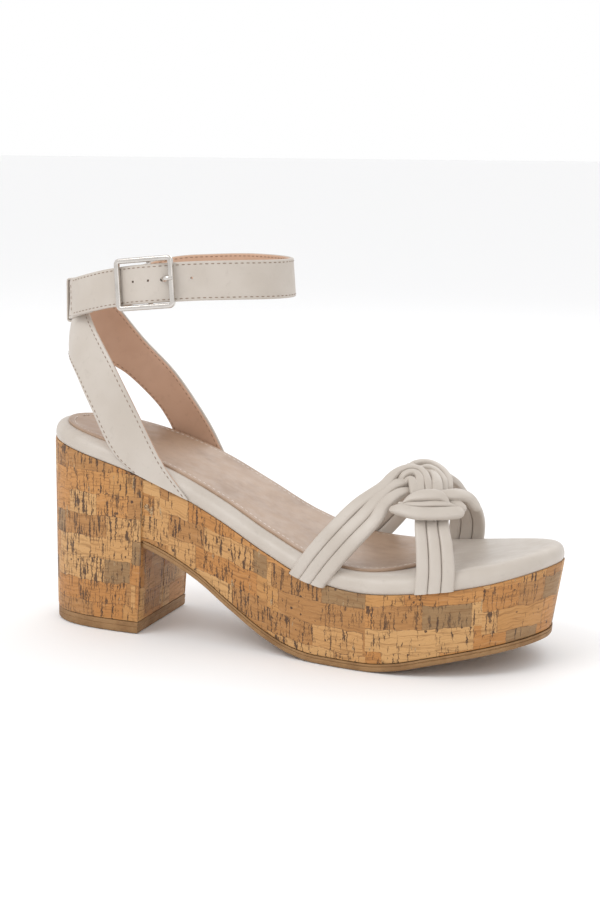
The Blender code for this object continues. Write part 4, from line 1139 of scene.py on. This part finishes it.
def buckle():
    """Polished frame with rounded corners and bevelled bars, its centre bar, and the bent prong."""
    centre, along, out, up = buckle_axes()

    def at(a, o, u):
        return centre + along * a + out * (o - CENTRE_BAR_OUT) + up * u

    half_l, half_h, corner, bar = 12.4, 9.7, 1.3, 1.1
    path = []
    for sa, su, start in ((1, 1, 0), (-1, 1, 90), (-1, -1, 180), (1, -1, 270)):
        for k in range(7):
            t = math.radians(start + 15 * k)
            c, s = math.cos(t), math.sin(t)
            path.append((sa * (half_l - corner) + corner * c, su * (half_h - corner) + corner * s, c, s))
    section = rounded(bar, -bar, bar, 0.8, 5, 2)
    rings = [[at(a + na * c, FRAME_OUT + b, u + nu * c) for c, b in section] for a, u, na, nu in path]
    count, size = len(rings), len(section)
    faces = loft_faces(count, size, caps=False)
    last = (count - 1) * size
    faces += [(last + j, last + (j + 1) % size, (j + 1) % size, j) for j in range(size)]
    points = [p for ring in rings for p in ring]
    for sign in (-1, 1):
        post = []
        for o in (FRAME_OUT, 3.2, 1.9, CENTRE_BAR_OUT):
            radius = 0.95
            post.append([at(radius * math.cos(t), o, sign * (half_h - 0.05) + radius * 0.85 * math.sin(t))
                         for t in circle(12)])
        faces += loft_faces(4, 12, len(points))
        points += [p for ring in post for p in ring]
    bar_rings = [
        [at(CENTRE_BAR_RADIUS * math.cos(t), CENTRE_BAR_OUT + CENTRE_BAR_RADIUS * math.sin(t), u)
         for t in circle(16)]
        for u in (-half_h - 0.6, -half_h + 0.6, 0.0, half_h - 0.6, half_h + 0.6)
    ]
    faces += loft_faces(5, 16, len(points))
    points += [p for ring in bar_rings for p in ring]
    piece("buckle_metal", points, faces, NICKEL, BUCKLE, ("buckle_frame",), None, 35)

    rest = FRAME_OUT + bar + 0.85
    eye = np.radians(np.linspace(-250, 0, 12))
    way = [(1.9 * math.cos(t) * 0.9, CENTRE_BAR_OUT + 1.75 * math.sin(t)) for t in eye]
    way += [(4.2, CENTRE_BAR_OUT + 0.2), (6.6, 2.7), (8.9, 5.9), (10.6, rest - 0.1), (12.2, rest + 0.05)]
    way = spline(way + [(13.6, rest - 0.5)], 4)
    size = np.interp(along_length(way), (0, 12, 20, along_length(way)[-1]), (0.4, 0.7, 0.85, 0.6))
    directions = unit(np.gradient(way, axis=0))
    rings = []
    for (a, o), (da, do), r in zip(way, directions, size):
        turns = [(math.cos(t) * r * 0.8, math.sin(t) * r * 1.15) for t in circle(14)]
        rings.append([at(a - do * c, o + da * c, PRONG_UP + u) for c, u in turns])
    loft("prong_metal", rings, NICKEL, PRONG, ("buckle_prong",), 50)


def sleeve():
    """Leather loop over the back of the ankle strap, sewn to the sling at both ends."""
    x = LOOP_CENTRE_X - LOOP_A
    z = float(loop_height(x))
    back, low, high = x - 4.6, z - STRAP_HALF - 0.95, z + STRAP_HALF + 1.3
    corner = 1.0
    path = [(x - 1.0, low, 0, -1), (x - 2.2, low, 0, -1)]
    turns = [(math.sin(math.radians(18 * k)), math.cos(math.radians(18 * k))) for k in range(6)]
    path += [(back + corner - corner * s, low + corner - corner * c, -s, -c) for s, c in turns]
    path += [(back + corner - corner * c, high - corner + corner * s, -c, s) for s, c in turns]
    path += [(x, high, 0, 1), (x + 3.0, high, 0, 1)]
    section = rounded(4.5, -0.4, 0.4, 0.3, 2, 4)
    rings = [[(px + nx * b, c, pz + nz * b) for c, b in section] for px, pz, nx, nz in path]
    loft("sleeve_leather", rings, CREAM, SANDAL, ("strap_sleeve",), 50)


# ---------------------------------------------------------------- inner pieces, stage and camera


def inner_pieces():
    """CAD pieces that stay as they are, hidden inside, with finished materials."""
    finishes = {"platform_core": FOAM, "heel_block": CORE, "insole_board": BOARD, "shank": STEEL}
    for name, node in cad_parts.items():
        material = finishes.get(name)
        if name.startswith(("heel_screw", "heel_nail", "heel_tip_dowel")):
            material = STEEL
        if material:
            node.data.materials.clear()
            node.data.materials.append(material)


def stage():
    floor = bpy.data.meshes.new("floor")
    floor.from_pydata([(-30, -30, 0), (30, -30, 0), (30, 30, 0), (-30, 30, 0)], [], [(0, 1, 2, 3)])
    made = bpy.data.objects.new("floor", floor)
    bpy.context.scene.collection.objects.link(made)
    g = Graph("floor_white")
    floor.materials.append(g.finish((0.93, 0.93, 0.935, 1), 0.7))
    made.location.z = -0.0003

    bpy.context.scene.view_settings.view_transform = "Standard"
    world = bpy.data.worlds.new("studio")
    bpy.context.scene.world = world
    world.use_nodes = True
    world.node_tree.nodes["Background"].inputs["Color"].default_value = (1, 1, 1, 1)
    world.node_tree.nodes["Background"].inputs["Strength"].default_value = 1.0

    def area(name, place, aim, size, power):
        light = bpy.data.lights.new(name, "AREA")
        light.shape = "RECTANGLE"
        light.size, light.size_y = size
        light.energy = power
        lamp = bpy.data.objects.new(name, light)
        lamp.location = place
        lamp.rotation_euler = (Vector(aim) - Vector(place)).to_track_quat("-Z", "Y").to_euler()
        bpy.context.scene.collection.objects.link(lamp)

    area("key", (-0.55, -1.0, 1.25), (0, 0, 0.06), (0.9, 0.7), 7)
    area("fill", (1.1, -0.9, 0.7), (0, 0, 0.06), (1.0, 0.8), 1.5)
    area("rim", (0.2, 1.1, 0.9), (0, 0, 0.08), (1.2, 0.6), 3)


def camera():
    """The viewpoint from the outer front, a little above the sandal."""
    distance, height, azimuth, pitch, roll = 0.799, 0.2042, 23.58, 8.90, 0.445
    a, p, r = (math.radians(v) for v in (azimuth, pitch, roll))
    ahead = Vector((-math.sin(a), math.cos(a), 0))
    right = Vector((math.cos(a), math.sin(a), 0))
    forward = ahead * math.cos(p) - Vector((0, 0, math.sin(p)))
    upward = Vector((0, 0, math.cos(p))) + ahead * math.sin(p)
    turned_right = right * math.cos(r) + upward * math.sin(r)
    turned_up = upward * math.cos(r) - right * math.sin(r)
    data = bpy.data.cameras.new("camera")
    data.sensor_fit = "VERTICAL"
    data.sensor_height = 36.0
    data.lens = 77.55
    data.clip_start = 0.01
    made = bpy.data.objects.new("camera", data)
    matrix = Matrix((turned_right, turned_up, -forward)).transposed().to_4x4()
    matrix.translation = Vector((math.sin(a) * distance, -math.cos(a) * distance, height))
    made.matrix_world = matrix
    bpy.context.scene.collection.objects.link(made)
    bpy.context.scene.camera = made


cork_walls()
cork_breast()
outsole()
heel_tip()
footbed()
vamp()
sling()
ankle_strap()
chape()
buckle()
sleeve()
inner_pieces()
stage()
camera()
